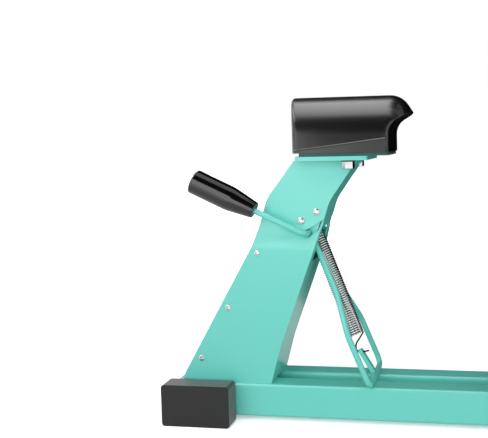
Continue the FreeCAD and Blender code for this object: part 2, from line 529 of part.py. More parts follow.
def build_tensioner():
    """The cap tensioner: one bent rod with a grip, on a bracket in the neck, and its over-centre spring."""
    outer, inner = "(neck_half - plate)", "(neck_half - plate - bracket_thick)"
    outline = [
        ("bracket_left", "bracket_low"), ("bracket_right_low", "bracket_low"),
        ("bracket_right", "bracket_right_z"), ("bracket_right", "bracket_high"), ("bracket_left", "bracket_high"),
    ]
    whole = prism("XZ", outline, f"-{outer}", outer)
    hollow = box((f"bracket_left + bracket_thick", f"-{inner}", "0"), ("foot_pitch", inner, "neck_top"))
    bore = rod("Y", "rod_radius + rod_fit", f"-{outer}", outer, ("pivot_x", "pivot_z"))
    holes = [rod("Y", "pivot_bolt_radius", f"-{outer}", outer, place) for place in pivot_bolt_places()]
    add_node("pivot_bracket", cut(whole, hollow, bore, *holes))
    bolts = []
    for place in pivot_bolt_places():
        for sign in (-1, 1):
            ends = [f"({sign} * {end})" for end in (inner, "neck_half", "(neck_half + pivot_bolt_head_high)")]
            shank = rod("Y", "pivot_bolt_radius", *sorted(ends[:2], key=value), place)
            head = rod("Y", "pivot_bolt_head", *sorted(ends[1:], key=value), place)
            bolts.append(fuse(shank, head))
    add_node("pivot_bolts", group(*bolts))
    add_node("spring_anchor", rod("Y", "anchor_radius", f"-{inner}", inner, ("anchor_x", "anchor_z")))

    pivot = V(value("pivot_x"), 0, value("pivot_z"))
    lean, drop = math.radians(value("lever_angle")), math.radians(value("bail_angle"))
    ahead = V(-math.cos(lean), 0, math.sin(lean))
    down = V(math.cos(drop), 0, -math.sin(drop))

    def place(along, far, y):
        """A point on the rod's centre line, far from the pivot along a direction."""
        return pivot + along * value(far) + V(0, value(y), 0)

    points = [
        place(ahead, "grip_start + grip_socket", "-rod_plane"), place(ahead, "0", "-rod_plane"),
        place(down, "0", "-bail_half_top"), place(down, "bail_kink_high", "-bail_half_top"),
        place(down, "bail_kink_low", "-bail_half"), place(down, BAIL_LONG, "-bail_half"),
        place(down, BAIL_LONG, "bail_half"), place(down, "bail_kink_low", "bail_half"),
        place(down, "bail_kink_high", "bail_half_top"), place(down, "0", "bail_half_top"),
        place(down, "0", "stub_end"),
    ]
    kink, corner, bend = value("bail_corner * 2"), value("bail_corner"), value("bail_bend")
    rounds = [value("rod_bend"), bend, kink, kink, corner, corner, kink, kink, bend]
    add_node("tension_bail", shape_object(bent_rod(points, rounds, value("rod_radius"))))

    grip_low, grip_high = "grip_start", "grip_end"
    profile = [
        ("rod_radius", grip_low), ("grip_thin", grip_low, "cap_round / 2"),
        ("grip_thick", f"{grip_low} + grip_taper", "edge_round"), ("grip_thick", grip_high, "grip_dome"),
        ("0", grip_high), ("0", f"{grip_low} + grip_socket"), ("rod_radius", f"{grip_low} + grip_socket"),
    ]
    body = doc.addObject("PartDesign::Body", "Turned")
    sketch = new_sketch(body, "XZ", "0")
    draw_outline(sketch, profile)
    turn = body.newObject("PartDesign::Revolution", "Turn")
    turn.Profile = sketch
    turn.ReferenceAxis = (sketch, ["V_Axis"])
    turn.Angle = 360
    grip = add_node("lever_grip", body, "-(90 - lever_angle)", ("0", "0"), ("pivot_x", "pivot_z"))
    bind(grip, Placement__Base__y="-rod_plane")

    far = f"({BAIL_LONG})"
    cross = (f"(pivot_x + {far} * cos(bail_angle))", f"(pivot_z - {far} * sin(bail_angle))")
    eye = ("hook_x", "hook_z")
    length = f"sqrt(({cross[0]} - {eye[0]}) ^ 2 + ({cross[1]} - {eye[1]}) ^ 2)"
    lean_lug = f"atan2({cross[1]} - {eye[1]}; {cross[0]} - {eye[0]})"
    low, high = "-lug_thick / 2", "lug_thick / 2"
    bar = box(("0", "-lug_half", low), (length, "lug_half", high))
    lug = cut(fuse(bar, rod("Z", "lug_half", low, high, ("0", "0"))), rod("Z", "lug_hole", low, high, ("0", "0")),
              rod("Y", "rod_radius + bail_gap", "-lug_half", "lug_half", (length, "0")))
    add_node("spring_lug", lug, f"(-{lean_lug})", ("0", "0"), eye)
    add_node("tension_spring", shape_object(extension_spring()))


def extension_spring():
    """The open-coil extension spring: a ring on its anchor above, an open hook through the lug below."""
    top = V(value("spring_top_x"), 0, value("spring_top_z"))
    low = V(value("spring_low_x"), 0, value("spring_low_z"))
    radius, wire = value("spring_radius"), value("spring_wire")
    coils, spans = int(value("spring_coils")), int(value("spring_spans"))
    run = low - top
    down = V(run).normalize()
    turn = FreeCAD.Rotation(V(0, 0, 1), down).multiply(FreeCAD.Rotation(V(0, 0, 1), 180))
    coil = Part.makeHelix(run.Length / coils, run.Length / spans, radius)
    coil.Placement = FreeCAD.Placement(top, turn)
    edge = coil.Edges[0]
    start = edge.valueAt(edge.FirstParameter)
    profile = Part.Wire(Part.Circle(start, edge.tangentAt(edge.FirstParameter), wire).toShape())
    span = Part.Wire(coil.Edges).makePipeShell([profile], True, True)
    pieces = [span.translated(run * i / spans) for i in range(spans)]
    end = start + run
    anchor = V(value("anchor_x"), 0, value("anchor_z"))
    ring = value("anchor_radius + layer_gap") + wire
    neck = value("hook_neck_round")
    pieces.append(bent_rod([start, top - down * value("hook_bend"), anchor + down * ring], [neck], wire))
    pieces.append(Part.makeTorus(ring, wire, anchor, V(0, 1, 0)))
    eye = V(value("hook_x"), 0, value("hook_z"))
    throat = V(value("hook_throat_x"), 0, value("hook_throat_z"))
    lean = math.radians(value("hook_lean"))
    through = V(math.cos(lean), 0, math.sin(lean))
    back, tip = eye - through * value("hook_back"), eye + through * value("hook_tip")
    pieces.append(bent_rod([end, throat, back, tip], [value("hook_throat_round"), value("hook_round")], wire))
    return pieces[0].fuse(pieces[1:]).removeSplitter()


def both_sides(low, high):
    """The same span of Y on each side of the middle, as low and high pairs."""
    return [(f"(-{high})", f"(-{low})"), (low, high)]


def build_tower():
    """The hinge tower: a bolted foot plate, two side plates, a back plate, the hinge pin and the link pins."""
    low_z = TOWER_FOOT
    at_bolts = [(f"({x})", f"({sign} * tower_bolt_y)")
                for x in ("tower_front + tower_bolt_inset", "tower_rear - tower_bolt_inset") for sign in (-1, 1)]
    base = box(("tower_front", f"-{RAIL_OUTER}", RAIL_TOP), ("tower_rear", RAIL_OUTER, low_z))
    holes = [rod("Z", "stand_bolt_radius", RAIL_TOP, low_z, at) for at in at_bolts]
    add_node("tower_base", cut(base, *holes))
    add_node("tower_bolts", group(*[
        fuse(rod("Z", "stand_bolt_radius", RAIL_TOP, low_z, at),
             rod("Z", "stand_bolt_head", low_z, f"{low_z} + stand_bolt_head_high", at)) for at in at_bolts]))
    outline = [
        ("tower_front", low_z), ("tower_rear", low_z), ("tower_top_rear", "tower_top", "tower_round"),
        ("tower_top_front", "tower_top", "tower_round"),
    ]
    for side, span in zip(("near", "far"), both_sides("tower_inner", TOWER_OUTER)):
        plate = prism("XZ", outline, *span)
        pins = [rod("Y", "hinge_radius", *span, HINGE), rod("Y", "link_pin", *span, ("link_x", "link_z"))]
        add_node(f"tower_plate_{side}", cut(plate, *pins))
    add_node("tower_back", box(("tower_web_x", "-tower_inner", low_z),
                               ("tower_web_x + tower_web_thick", "tower_inner", "tower_web_top")))
    add_node("hinge_pin", rod("Y", "hinge_radius", "-hinge_reach", "hinge_reach", HINGE))
    pins = [rod("Y", "link_pin", *span, ("link_x", "link_z")) for span in both_sides(LINK_INNER, TOWER_OUTER)]
    add_node("link_pins", group(*pins))


def build_links():
    """The toggle links between the tower and the main lever, and the studs at their knuckle."""
    reach = "sqrt((knuckle_x - link_x) ^ 2 + (knuckle_z - link_z) ^ 2)"
    rise = "atan2(knuckle_z - link_z; knuckle_x - link_x)"
    links = []
    stud = f"({LEVER_OUTER} + stud_gap)"
    for span, stud_span in zip(both_sides(LINK_INNER, LINK_OUTER), both_sides(stud, LINK_INNER)):
        bar = box(("0", span[0], "-link_half"), (reach, span[1], "link_half"))
        ends = [rod("Y", "link_half", *span, (x, "0")) for x in ("0", reach)]
        plate = cut(fuse(bar, *ends), rod("Y", "link_pin + run_fit", *span, ("0", "0")))
        links.append(fuse(plate, rod("Y", "link_pin", *stud_span, (reach, "0"))))
    add_node("toggle_links", group(*links), f"(link_swing * 1 deg - {rise})", ("0", "0"), ("link_x", "link_z"))


def build_arm():
    """The upper arm: two plates joined by the hinge tube, a top web and the pressure screw's boss."""
    inner = "(arm_half - arm_plate)"
    outline = [
        ("hinge_x + 20", "hinge_z - 22", "arm_tube"), ("hinge_x + 20", "hinge_z + 20", "arm_tube"),
        ("hinge_x - 45", "hinge_z + 42", "edge_round"), ("lever_x + 16", "lever_z + 16", "arm_tube"),
        ("lever_x - 14", "lever_z + 16", "arm_tube"), ("lever_x - 34", "arm_high", "arm_round"),
        ("arm_front", "arm_high", "arm_round"), ("arm_front", "arm_low", "arm_round"),
        ("lever_x + 20", "arm_low - 6", "edge_round"), ("hinge_x - 20", "hinge_z - 22", "edge_round"),
    ]
    plates = [prism("XZ", outline, *span) for span in both_sides(inner, "arm_half")]
    tube = rod("Y", "arm_tube", "-arm_half", "arm_half", HINGE)
    top = box(("arm_front + arm_round", f"-{inner}", "arm_high - arm_plate"), ("lever_x - 40", inner, "arm_high"))
    boss = rod("Z", "boss_radius", "arm_low", "arm_high", ("screw_x", "0"))
    bores = [
        rod("Y", "bush_radius", "-arm_half", "arm_half", HINGE),
        rod("Z", "pressure_radius + run_fit", "arm_low", "arm_high", ("screw_x", "0")),
        rod("Y", "lever_pin", "-arm_half", "arm_half", LEVER_PIVOT),
    ]
    add_arm_node("upper_arm", cut(fuse(*plates, tube, top, boss), *bores))
    bushes = []
    for sign in (-1, 1):
        ends = [f"({sign} * {y})" for y in ("(arm_half - bush_long)", "arm_half", "(arm_half + bush_flange_thick)")]
        sleeve = rod("Y", "bush_radius", *sorted(ends[:2], key=value), HINGE)
        flange = rod("Y", "bush_flange", *sorted(ends[1:], key=value), HINGE)
        bore = rod("Y", "hinge_radius + run_fit", *sorted((ends[0], ends[2]), key=value), HINGE)
        bushes.append(cut(fuse(sleeve, flange), bore))
    add_arm_node("hinge_bushes", group(*bushes))
    add_arm_node("lever_pin", rod("Y", "lever_pin", f"-{LEVER_OUTER}", LEVER_OUTER, LEVER_PIVOT))
    add_arm_node("arm_springs", shape_object(torsion_springs()))


def torsion_springs():
    """The two torsion springs round the hinge pin that lift the arm, each leg along an arm plate."""
    radius, wire = value("arm_spring_radius"), value("arm_spring_wire")
    turns, leg = value("arm_spring_coils"), value("arm_spring_leg")
    start = value("arm_half + bush_flange_thick + layer_gap") + wire
    pitch = 2 * wire + value("layer_gap")
    springs = []
    for sign in (-1, 1):
        helix = Part.makeHelix(pitch, pitch * turns, radius)
        helix.Placement = FreeCAD.Placement(
            V(value("hinge_x"), sign * start, value("hinge_z")), FreeCAD.Rotation(V(0, 0, 1), V(0, sign, 0)))
        path = Part.Wire(helix.Edges)
        first = path.Edges[0]
        begin, heading = first.valueAt(first.FirstParameter), first.tangentAt(first.FirstParameter)
        profile = Part.Wire(Part.Circle(begin, heading, wire).toShape())
        coil = path.makePipeShell([profile], True, True)
        flat = V(heading.x, 0, heading.z).normalize()
        tail = Part.makeCylinder(wire, leg, begin, flat * -1)
        springs.append(coil.fuse(tail))
    return Part.makeCompound(springs)


def build_main_lever():
    """The main lever: two long plates and a crossbar, with a black sleeve on each end of the crossbar."""
    outline = [
        ("knuckle_x + 13", "knuckle_z - 13", "arm_tube - 3"), ("knuckle_x + 14", "knuckle_z + 9", "arm_tube - 5"),
        ("lever_x + 4", "lever_z + 16", "edge_round"), ("handle_x - 12", "handle_z + 11", "arm_round"),
        ("handle_x - 12", "handle_z - 11", "arm_round"), ("lever_x - 10", "lever_z - 15", "edge_round"),
        ("knuckle_x - 12", "knuckle_z - 14", "edge_round / 2"),
    ]
    plates = [cut(prism("XZ", outline, *span), rod("Y", "lever_pin + run_fit", *span, LEVER_PIVOT))
              for span in both_sides(LEVER_INNER, LEVER_OUTER)]
    bar = rod("Y", "handle_radius", "-handle_half", "handle_half", ("handle_x", "handle_z"))
    add_lever_node("main_lever", fuse(*plates, bar))
    sleeves = []
    for sign in (-1, 1):
        ends = [f"({sign} * {y})" for y in (f"({LEVER_OUTER} + layer_gap)", "handle_half", "sleeve_half")]
        body = rod("Y", "sleeve_radius", *sorted((ends[0], ends[2]), key=value), ("handle_x", "handle_z"))
        room = rod("Y", "handle_radius", *sorted(ends[:2], key=value), ("handle_x", "handle_z"))
        sleeves.append(cut(body, room))
    add_lever_node("handle_sleeves", group(*sleeves))


def build_pressure_screw():
    """The pressure screw with its lobed knob."""
    at = ("screw_x", "0")
    add_arm_node("pressure_screw", rod("Z", "pressure_radius", "screw_tip", "knob_z + knob_high / 2", at))
    top = "(knob_z + knob_high)"
    knob = rod("Z", "knob_radius", "knob_z", top, at)
    dips = []
    for turn in range(0, 360, 60):
        away = "(knob_radius + knob_lobe / 2)"
        place = (f"(screw_x + {away} * cos({turn}))", f"({away} * sin({turn}))")
        dips.append(rod("Z", "knob_lobe", "knob_z + knob_lobe", f"{top} + 1", place))
    bore = rod("Z", "pressure_radius", "knob_z", "knob_z + knob_high / 2", at)
    add_arm_node("pressure_knob", cut(knob, *dips, bore))


def arch_band(inner, outer, low, high, floor):
    """A band round the platen's arch, between two radii, cut off level at its floor."""
    at = ("0", ARCH_Z)
    ring = cut(rod("X", outer, low, high, at), rod("X", inner, f"{low} - 1", f"{high} + 1", at))
    return common(ring, box((f"{low} - 1", f"-{outer} - 1", floor),
                            (f"{high} + 1", f"{outer} + 1", f"{ARCH_Z} + {outer} + 1")))


def shell_outline(inset):
    """The upper platen's housing seen from the front."""
    side, top = f"(shell_half - {inset})", f"(shell_top - {inset})"
    return [(f"-{side}", "shell_low"), (f"-{side}", top, f"shell_round - {inset}"),
            (side, top, f"shell_round - {inset}"), (side, "shell_low")]


def build_upper_platen():
    """The heated upper platen: curved plate, element, insulation, housing and the bracket that carries it."""
    add_arm_node("hot_platen", arch_band(HOT_INNER, HOT_OUTER, "hot_start", "hot_end", "hot_low"))
    add_arm_node("heating_element", arch_band(ELEMENT_INNER, ELEMENT_OUTER, "hot_start + shell", "hot_end - shell",
                                              "hot_low"))
    add_arm_node("insulation_pad", arch_band(INSULATION_INNER, INSULATION_OUTER, "hot_start", "hot_end", "hot_low"))
    low, high = "(hot_start - shell_margin)", "(hot_end + shell_margin)"
    outer = prism("YZ", shell_outline("0"), low, high)
    room = prism("YZ", [(c[0], f"{c[1]} - 1", *c[2:]) if c[1] == "shell_low" else c for c in shell_outline("shell")],
                 f"{low} + shell", f"{high} - shell")
    mouth = rod("X", f"{HOT_OUTER} + layer_gap", f"{low} - 1", f"{high} + 1", ("0", ARCH_Z))
    screw_places = [(f"(screw_x + {i} * yoke_screw_x)", f"({j} * yoke_screw_y)") for i in (-1, 1) for j in (-1, 1)]
    foot = f"({ARCH_Z} + {INSULATION_OUTER})"
    holes = [rod("Z", "screw_radius", "shell_top - shell", "shell_top + yoke_thick", at) for at in screw_places]
    hanger = box(("screw_x - yoke_half_x", "-hub_radius", foot),
                 ("screw_x + yoke_half_x", "hub_radius", "shell_top - shell"))
    add_arm_node("heater_housing", cut(fuse(cut(outer, room, mouth), hanger), *holes))
    top = "(shell_top + yoke_thick)"
    ear_inner = "(arm_half + ear_gap)"
    ear_outer = f"({ear_inner} + ear_thick)"
    yoke = box(("screw_x - yoke_half_x", f"-{ear_outer}", "shell_top"), ("screw_x + yoke_half_x", ear_outer, top))
    ears = [box(("screw_x - ear_half", span[0], "shell_top"), ("screw_x + ear_half", span[1], "ear_top"))
            for span in both_sides(ear_inner, ear_outer)]
    hub = rod("Z", "hub_radius", "shell_top", "hub_top", ("screw_x", "0"))
    bore = rod("Z", "pressure_radius + run_fit", "screw_tip - run_fit", "hub_top", ("screw_x", "0"))
    add_arm_node("platen_yoke", cut(fuse(yoke, hub, *ears), bore, *holes))
    add_arm_node("yoke_screws", group(*[
        fuse(rod("Z", "screw_radius", "shell_top - shell", top, at),
             rod("Z", "screw_head", top, f"{top} + screw_head_high", at)) for at in screw_places]))


def on_panel(item):
    """Puts a piece drawn flat, with its face at Z = 0, on the middle of the control box's sloping panel."""
    holder = group(item)
    holder.Placement.Rotation = FreeCAD.Rotation(V(0, 1, 0), -1)
    return bind(holder, Placement__Rotation__Angle=f"-{PANEL_LEAN}",
                Placement__Base__x="(box_front + box_brow) / 2", Placement__Base__z="(box_sill + box_top) / 2")


def add_panel_node(name, item):
    """A piece of the control panel."""
    middle = ("((box_front + box_brow) / 2)", "((box_sill + box_top) / 2)")
    return add_node(name, item, f"(-{PANEL_LEAN})", ("0", "0"), middle)


def build_control_box():
    """The control box on the rails: folded base and cover, display, buttons, circuit board, switch and inlet."""
    skin = [("box_back", "box_top"), ("box_brow", "box_top", "tube_round"), ("box_front", "box_sill", "tube_round"),
            ("box_front", "box_low")]
    lean = f"(sheet * tan({PANEL_LEAN} / 2))"
    drop = f"(sheet * tan(45 deg - {PANEL_LEAN} / 2))"
    under = [("box_front + sheet", "box_low"), ("box_front + sheet", f"box_sill - {drop}", "tube_round / 2"),
             (f"box_brow + {lean}", "box_top - sheet", "tube_round / 2"), ("box_back", "box_top - sheet")]
    cover = prism("XZ", skin + under, "-box_half", "box_half")
    half = "(panel_window_long / 2)"
    window_at = (f"(panel_window_x - {half})", f"(panel_window_x + {half})")
    openings = [box((f"{window_at[0]} - panel_fit", "-panel_window_half - panel_fit", "-sheet - 1"),
                    (f"{window_at[1]} + panel_fit", "panel_window_half + panel_fit", "1"))]
    steps = {"button_down": -1, "button_set": 0, "button_up": 1}
    for step in steps.values():
        openings.append(rod("Z", "button_radius + panel_fit", "-sheet - 1", "1",
                            ("button_x", f"({step} * button_step)")))
    studs = [rod("Z", "stud_radius", "-board_drop", "-sheet", (f"({i} * (board_long / 2 - stud_radius))",
                                                              f"({j} * (board_half - stud_radius))"))
             for i in (-1, 1) for j in (-1, 1)]
    add_node("box_cover", fuse(cut(cover, *[on_panel(o) for o in openings]), *[on_panel(s) for s in studs]))

    shell = prism("XZ", under[::-1] + [("box_back", "box_low")], "-box_half", "box_half")
    room = prism("XZ", [("box_front - 1", "box_low + sheet"), ("box_back - sheet", "box_low + sheet"),
                        ("box_back - sheet", "box_top"), ("box_front - 1", "box_top")],
                 "-box_half + sheet", "box_half - sheet")
    rocker_hole = box(("port_x - rocker_half_x - layer_gap", "-box_half - 1", "port_z - rocker_half_z - rocker_fit"),
                      ("port_x + rocker_half_x + layer_gap", "0", "port_z + rocker_half_z + rocker_fit"))
    inlet_hole = box(("port_x - inlet_half_x", "0", "port_z - inlet_half_z"),
                     ("port_x + inlet_half_x", "box_half + 1", "port_z + inlet_half_z"))
    add_node("box_base", cut(shell, room, rocker_hole, inlet_hole))
    add_panel_node("display_window", box((window_at[0], "-panel_window_half", "-board_drop"),
                                         (window_at[1], "panel_window_half", "window_proud")))
    add_panel_node("circuit_board", box(("-board_long / 2", "-board_half", "-board_drop - board_thick"),
                                        ("board_long / 2", "board_half", "-board_drop")))
    for name, step in steps.items():
        at = ("button_x", f"({step} * button_step)")
        stem = rod("Z", "button_radius", "-board_drop + button_travel + layer_gap", "button_proud", at)
        collar = rod("Z", "button_collar", "-sheet - layer_gap - 1", "-sheet - layer_gap", at)
        add_panel_node(name, fuse(stem, collar))
    rocker = prism("YZ", [("-box_half + rocker_deep", "port_z - rocker_half_z"),
                          ("-box_half - rocker_proud", "port_z - rocker_half_z"),
                          ("-box_half - sheet / 4", "port_z"),
                          ("-box_half - rocker_proud / 2", "port_z + rocker_half_z"),
                          ("-box_half + rocker_deep", "port_z + rocker_half_z")],
                   "port_x - rocker_half_x", "port_x + rocker_half_x")
    add_node("power_switch", rocker)
    flange = box(("port_x - inlet_half_x - sheet", "box_half", "port_z - inlet_half_z - sheet"),
                 ("port_x + inlet_half_x + sheet", "box_half + inlet_proud", "port_z + inlet_half_z + sheet"))
    block = box(("port_x - inlet_half_x", "box_half - inlet_deep", "port_z - inlet_half_z"),
                ("port_x + inlet_half_x", "box_half", "port_z + inlet_half_z"))
    socket = box(("port_x - inlet_half_x + sheet", "box_half - inlet_deep + sheet", "port_z - inlet_half_z + sheet"),
                 ("port_x + inlet_half_x - sheet", "box_half + inlet_proud + 1", "port_z + inlet_half_z - sheet"))
    add_node("mains_inlet", cut(fuse(flange, block), socket))


def main():
    """Builds every sub-part, checks it and writes its file."""
    build_base()
    build_stand()
    build_lower_platen()
    build_tensioner()
    build_tower()
    build_links()
    build_arm()
    build_main_lever()
    build_pressure_screw()
    build_upper_platen()
    build_control_box()
    doc.recompute()
    for item in doc.Objects:
        if "Invalid" in item.State or "Error" in item.State:
            raise RuntimeError(f"{item.Label} ({item.TypeId}) failed: {item.getStatusString()}")
    os.makedirs("parts", exist_ok=True)
    for name, item in nodes.items():
        shape = item.Shape
        if shape.isNull() or not shape.isValid() or not shape.Solids:
            raise RuntimeError(f"{name} has no valid solid")
        shape.exportStep(f"parts/{name}.step")
        print(name, len(shape.Solids), round(shape.Volume))


main()
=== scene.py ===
"""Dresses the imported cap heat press: finishes, modelled edges, light, floor and camera.

Lengths in this file are millimetres in the press's own frame unless a name says otherwise: X runs
from the middle of the front cross foot towards the hinge tower, Y away from the viewer and Z up from
the table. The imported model's origin lies under the middle of the base, half the pitch of the two
cross feet further along X.
"""
from __future__ import annotations

import functools
import json
import logging
import math
from dataclasses import dataclass, field
from typing import Callable, Sequence

import bmesh
import bpy
from bmesh.types import BMEdge, BMesh, BMFace, BMVert
from bpy.types import ID, Material, Mesh, Node, NodeSocket, NodeTree, Object, bpy_prop_collection
from mathutils import Matrix, Vector

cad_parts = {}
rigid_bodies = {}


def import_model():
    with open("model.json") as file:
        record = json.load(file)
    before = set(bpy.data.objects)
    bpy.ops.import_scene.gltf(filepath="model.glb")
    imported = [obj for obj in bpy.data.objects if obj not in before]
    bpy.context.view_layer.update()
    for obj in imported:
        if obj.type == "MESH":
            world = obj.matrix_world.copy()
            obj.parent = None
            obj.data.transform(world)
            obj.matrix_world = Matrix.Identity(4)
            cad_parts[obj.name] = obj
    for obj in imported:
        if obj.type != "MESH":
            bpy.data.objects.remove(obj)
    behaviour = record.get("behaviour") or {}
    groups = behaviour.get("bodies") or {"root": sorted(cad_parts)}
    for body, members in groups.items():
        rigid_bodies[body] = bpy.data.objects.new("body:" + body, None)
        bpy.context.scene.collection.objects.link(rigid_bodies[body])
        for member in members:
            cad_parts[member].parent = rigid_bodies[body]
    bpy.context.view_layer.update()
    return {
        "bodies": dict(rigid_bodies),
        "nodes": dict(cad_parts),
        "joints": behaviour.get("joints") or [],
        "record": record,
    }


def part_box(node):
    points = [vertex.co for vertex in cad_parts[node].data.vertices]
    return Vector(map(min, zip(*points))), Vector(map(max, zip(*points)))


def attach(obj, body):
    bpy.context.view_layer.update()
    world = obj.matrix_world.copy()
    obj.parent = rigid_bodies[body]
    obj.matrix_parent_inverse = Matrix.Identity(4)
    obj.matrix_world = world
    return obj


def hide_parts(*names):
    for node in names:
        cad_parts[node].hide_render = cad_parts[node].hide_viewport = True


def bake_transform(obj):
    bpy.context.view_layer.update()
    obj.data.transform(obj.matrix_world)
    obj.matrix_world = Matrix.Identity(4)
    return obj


LOG = logging.getLogger("cap_press")
MM = 0.001
FOOT_PITCH = 500.0
TINY = 0.002 * MM
WELD = 0.004 * MM
CUT = 0.02 * MM
UNEVENNESS = 0.15
Point = tuple[float, float, float]
Colour = tuple[float, float, float]
Flat = tuple[float, float]


def place(x: float, y: float, z: float) -> Vector:
    """Returns a point of the press's own frame, in millimetres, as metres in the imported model's frame."""
    return Vector((x - FOOT_PITCH / 2, y, z)) * MM


def linked(name: str, data: ID) -> Object:
    """Adds an object with its data to the scene, at the origin, and returns it."""
    made = bpy.data.objects.new(name, data)
    bpy.context.scene.collection.objects.link(made)
    return made


def mesh_of(name: str, body: BMesh) -> Mesh:
    """Turns a bmesh into a mesh, frees the bmesh and returns the mesh."""
    mesh = bpy.data.meshes.new(name)
    body.to_mesh(mesh)
    body.free()
    return mesh


@dataclass(frozen=True)
class Graph:
    """A node tree, with short ways to add nodes and to join them."""

    tree: NodeTree

    def add(self, kind: str, feeds: dict | None = None, **settings: object) -> Node:
        """Adds a node to the tree.

        Args:
            kind: The node's type, without ShaderNode before it.
            feeds: What each input gets, as in feed.
            settings: The node's own settings, which are set first.

        Returns:
            The node.
        """
        node = self.tree.nodes.new(f"ShaderNode{kind}")
        for name, value in settings.items():
            setattr(node, name, value)
        return self.feed(node, feeds or {})

    def feed(self, node: Node, feeds: dict) -> Node:
        """Gives a node's inputs, by name or place, a value or another node's output, and returns the node."""
        for name, value in feeds.items():
            if isinstance(value, NodeSocket):
                self.tree.links.new(value, node.inputs[name])
            else:
                node.inputs[name].default_value = value
        return node

    def math(self, operation: str, *values: object) -> NodeSocket:
        """Returns the socket with the result of an operation on numbers or sockets."""
        return self.add("Math", dict(enumerate(values)), operation=operation).outputs[0]

    def vector(self, operation: str, *values: object, **named: object) -> NodeSocket:
        """Returns the socket with the result of an operation on vectors or sockets."""
        node = self.add("VectorMath", dict(enumerate(values)) | named, operation=operation)
        return node.outputs["Value" if operation == "LENGTH" else "Vector"]


def with_nodes(owner: ID) -> Graph:
    """Lets a material or a world use nodes, and returns its graph."""
    owner.use_nodes = True
    return Graph(owner.node_tree)


class NodeGroups:
    """The shader node groups that several finishes use, each built once."""

    @staticmethod
    def start(name: str, **sockets: str) -> tuple[Graph, bpy_prop_collection, Node]:
        """Starts a node group.

        Args:
            name: The group's name.
            sockets: The way and the kind of each of its sockets.

        Returns:
            The group's graph, the sockets that bring its inputs, and the node that takes its outputs.
        """
        tree = bpy.data.node_groups.new(name, "ShaderNodeTree")
        for socket, wanted in sockets.items():
            way, kind = wanted.split()
            tree.interface.new_socket(socket, in_out=way, socket_type=f"NodeSocket{kind}")
        return Graph(tree), tree.nodes.new("NodeGroupInput").outputs, tree.nodes.new("NodeGroupOutput")

    @classmethod
    @functools.cache
    def surface(cls) -> NodeTree:
        """Builds the group that varies a surface's colour and roughness and gives its fine relief."""
        graph, given, result = cls.start(
            "Surface variation", Colour="INPUT Color", Gloss="INPUT Float", Scale="INPUT Float",
            Mottling="INPUT Float", Patches="INPUT Float", Stretch="INPUT Vector", Shade="OUTPUT Color",
            Roughness="OUTPUT Float", Height="OUTPUT Float")
        where = graph.add("TexCoord").outputs["Object"]
        stretched = graph.vector("MULTIPLY", where, given["Stretch"])
        fine, coarse = (graph.add("TexNoise", feeds).outputs["Fac"] for feeds in (
            {"Vector": stretched, "Scale": given["Scale"], "Detail": 3.0},
            {"Vector": where, "Scale": 9.0, "Detail": 2.0}))

        def around_one(noise: NodeSocket, amount: NodeSocket | float) -> NodeSocket:
            """Returns 1 plus an amount of the noise, centred on 0."""
            return graph.math("MULTIPLY_ADD", graph.math("SUBTRACT", noise, 0.5), amount, 1.0)

        patches = around_one(coarse, given["Patches"])
        tone = graph.math("MULTIPLY", around_one(fine, given["Mottling"]), patches)
        shade = graph.vector("SCALE", given["Colour"], Scale=tone)
        rough = graph.math("MULTIPLY", given["Gloss"], around_one(coarse, UNEVENNESS))
        rough.node.use_clamp = True
        graph.feed(result, {"Shade": shade, "Roughness": rough, "Height": fine})
        return graph.tree

    @classmethod
    @functools.cache
    def coil_side(cls) -> NodeTree:
        """Builds the group that tells the outer side of a coil's wire from its inner side, in metres, as the
        mask of a coil's painted shade.
        """
        graph, given, result = cls.start(
            "Outer side of a coil", Start="INPUT Vector", Along="INPUT Vector", Inner="INPUT Float",
            Outer="INPUT Float", Outside="OUTPUT Float")
        where = graph.add("TexCoord").outputs["Object"]
        across = graph.vector("CROSS_PRODUCT", graph.vector("SUBTRACT", where, given["Start"]),
                              given["Along"])
        share = graph.add("MapRange", {
            "Value": graph.vector("LENGTH", across), "From Min": given["Inner"], "From Max": given["Outer"]},
            interpolation_type="SMOOTHSTEP")
        graph.feed(result, {"Outside": share.outputs["Result"]})
        return graph.tree


@dataclass(frozen=True)
class Coil:
    """Where a coil spring lies, for a finish with painted shade: the wire keeps its bright colour on its
    outer side and is painted dark on its inner side, where shade falls between the coils.
    """

    start: Point
    end: Point
    inner: float
    outer: float
    painted_shade: Colour

    def shade(self, graph: Graph, bright: NodeSocket) -> NodeSocket:
        """Returns a colour socket that is the bright colour on the wire's outer side and the painted shade on
        its inner side.
        """
        start, end = place(*self.start), place(*self.end)
        side = graph.add("Group", {
            "Start": start, "Along": (end - start).normalized(), "Inner": self.inner * MM,
            "Outer": self.outer * MM}, node_tree=NodeGroups.coil_side())
        mix = graph.add("Mix", {
            "Factor": side.outputs["Outside"], "A": (*self.painted_shade, 1.0), "B": bright}, data_type="RGBA")
        return mix.outputs["Result"]


